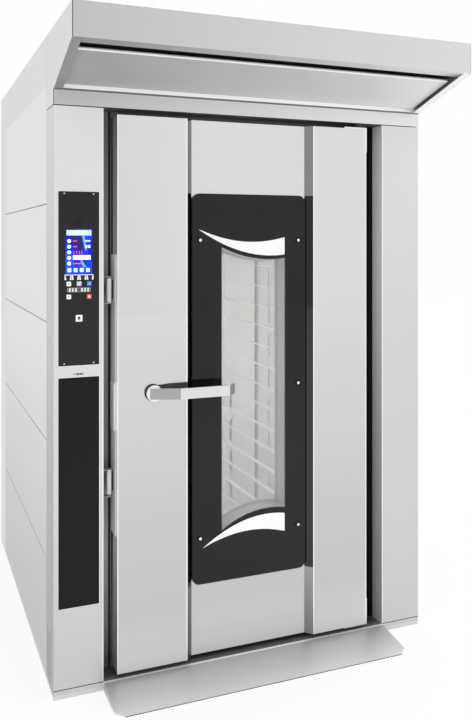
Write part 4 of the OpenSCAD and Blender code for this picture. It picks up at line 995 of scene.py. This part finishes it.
def plinth_line():
    """Dark joint between the plinth and the sheets above it."""
    _, base_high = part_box("base_frame")
    left_x, open_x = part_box("column_left")[0].x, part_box("ramp")[1].x
    t, half_h = 0.4 * MM, 1.2 * MM
    z0, z1 = base_high.z - half_h, base_high.z + half_h
    for name, x0, x1 in (("left", left_x, -open_x), ("right", open_x, -left_x)):
        piece(f"plinth_line_{name}", lambda bm: box(bm, (x0, FRONT_Y - t, z0),
                                                    (x1, FRONT_Y, z1)),
              "cabinet", SEAM_DARK_AND_PAINTED_SHADOW)


def vent_painted_shadow():
    """Dark sheet behind the perforated field of the left column: painted shadow seen through the
    holes.
    """
    low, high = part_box("column_left")
    x0, t = low.x + 2.6 * MM, 1 * MM
    piece("vent_painted_shadow", lambda bm: box(
        bm, (x0, low.y + 30 * MM, low.z + 4 * MM), (x0 + t, high.y - 4 * MM, low.z + 200 * MM)),
        "cabinet", DARK_PARTS_AND_PAINTED_SHADE)


def back_panel_screws():
    """A screw near each corner of the stacked back panels, sunk into the CAD model's box."""
    low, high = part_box("rear_panels")
    count, r, from_side = 5, 4 * MM, 100 * MM
    head_height = 0.46 * r
    y = high.y - head_height
    pitch = (high.z - low.z) / count
    places = [(s * (high.x - from_side), y, low.z + (i + part) * pitch)
              for s in (-1, 1) for i in range(count) for part in (0.08, 0.92)]
    screws("back_panel_screws", places, BACK, "cabinet", r)


def seam_painted_shadow():
    """Dark sheets behind the seams of the side panels: painted shadow in the gaps between the
    panels.
    """
    low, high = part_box("side_panels")
    inset, t, past, short = 1.4 * MM, 0.4 * MM, 4 * MM, 1 * MM
    outer, inner = high.x - inset, high.x - inset - t
    for name, x0, x1 in (("left", -outer, -inner), ("right", inner, outer)):
        piece(f"seam_painted_shadow_{name}", lambda bm: box(
            bm, (x0, low.y - past, low.z + short), (x1, high.y + past, high.z - short)),
            "cabinet", SEAM_DARK_AND_PAINTED_SHADOW)


# ---- Studio ----

def camera():
    data = bpy.data.cameras.new("camera")
    data.lens = CAMERA_LENS
    data.sensor_width = CAMERA_SENSOR
    data.shift_y = CAMERA_SHIFT_Y
    made = add_to_scene("camera", data)
    made.location = CAMERA_PLACE
    made.rotation_euler = (math.radians(90), 0, math.radians(CAMERA_YAW))
    bpy.context.scene.camera = made


def area_light(name, place, target, size, power):
    """A soft light that no surface mirrors."""
    data = bpy.data.lights.new(name, "AREA")
    data.shape = "RECTANGLE"
    data.size, data.size_y = size
    data.energy = power
    made = add_to_scene(name, data)
    made.location = place
    made.rotation_euler = (Vector(target) - Vector(place)).to_track_quat("-Z", "Y").to_euler()
    made.visible_glossy = False


def studio_world():
    """White for the camera. Metal and light see a pale room, darker towards the left front."""
    world = bpy.data.worlds.new("studio")
    bpy.context.scene.world = world
    made = NodeTree(world)
    ray = made.add("ShaderNodeTexCoord")
    dark_side = Vector((-0.86, -0.5, -0.1)).normalized()
    towards = made.add("ShaderNodeVectorMath", {0: (ray, "Generated"), 1: dark_side},
                       operation="DOT_PRODUCT")
    room = made.ramp((towards, "Value"), even(0.96), (0.6, 0.6, 0.61, 1), start=0.2, end=0.9)
    colour = made.laid_over(made.seen_by("Camera", "Transmission"), room, even(1))
    light = made.add("ShaderNodeBackground", {"Color": colour})
    made.add("ShaderNodeOutputWorld", {"Surface": (light, "Background")})


def floor():
    """White floor that keeps the oven's soft shadow, just below the wheels and the ramp."""
    half, z = 14, -1 * MM
    mesh = bpy.data.meshes.new("floor")
    mesh.from_pydata([(-half, -half, z), (half, -half, z), (half, half, z), (-half, half, z)],
                     [], [(0, 1, 2, 3)])
    made = add_to_scene("floor", mesh)
    mesh.materials.append(floor_paint("floor", srgb(232, 232, 232)))


dress_nodes()
camera()
studio_world()
floor()
for light_name, light in LIGHTS.items():
    area_light(light_name, *light)

for make in (window_prints, screw_washers, panel_rims, panel_screws, screen_background,
             screen_marks, key_marks, level_bar, handle_back_painted_shade, boss_painted_shade, keeper_rollers,
             hood_inside_painted_shade, landing_painted_shadow, sounder, column_slots, plinth_line, vent_painted_shadow,
             latch_case_screws, back_panel_screws, seam_painted_shadow):
    make()

bpy.context.scene.view_settings.view_transform = "Standard"
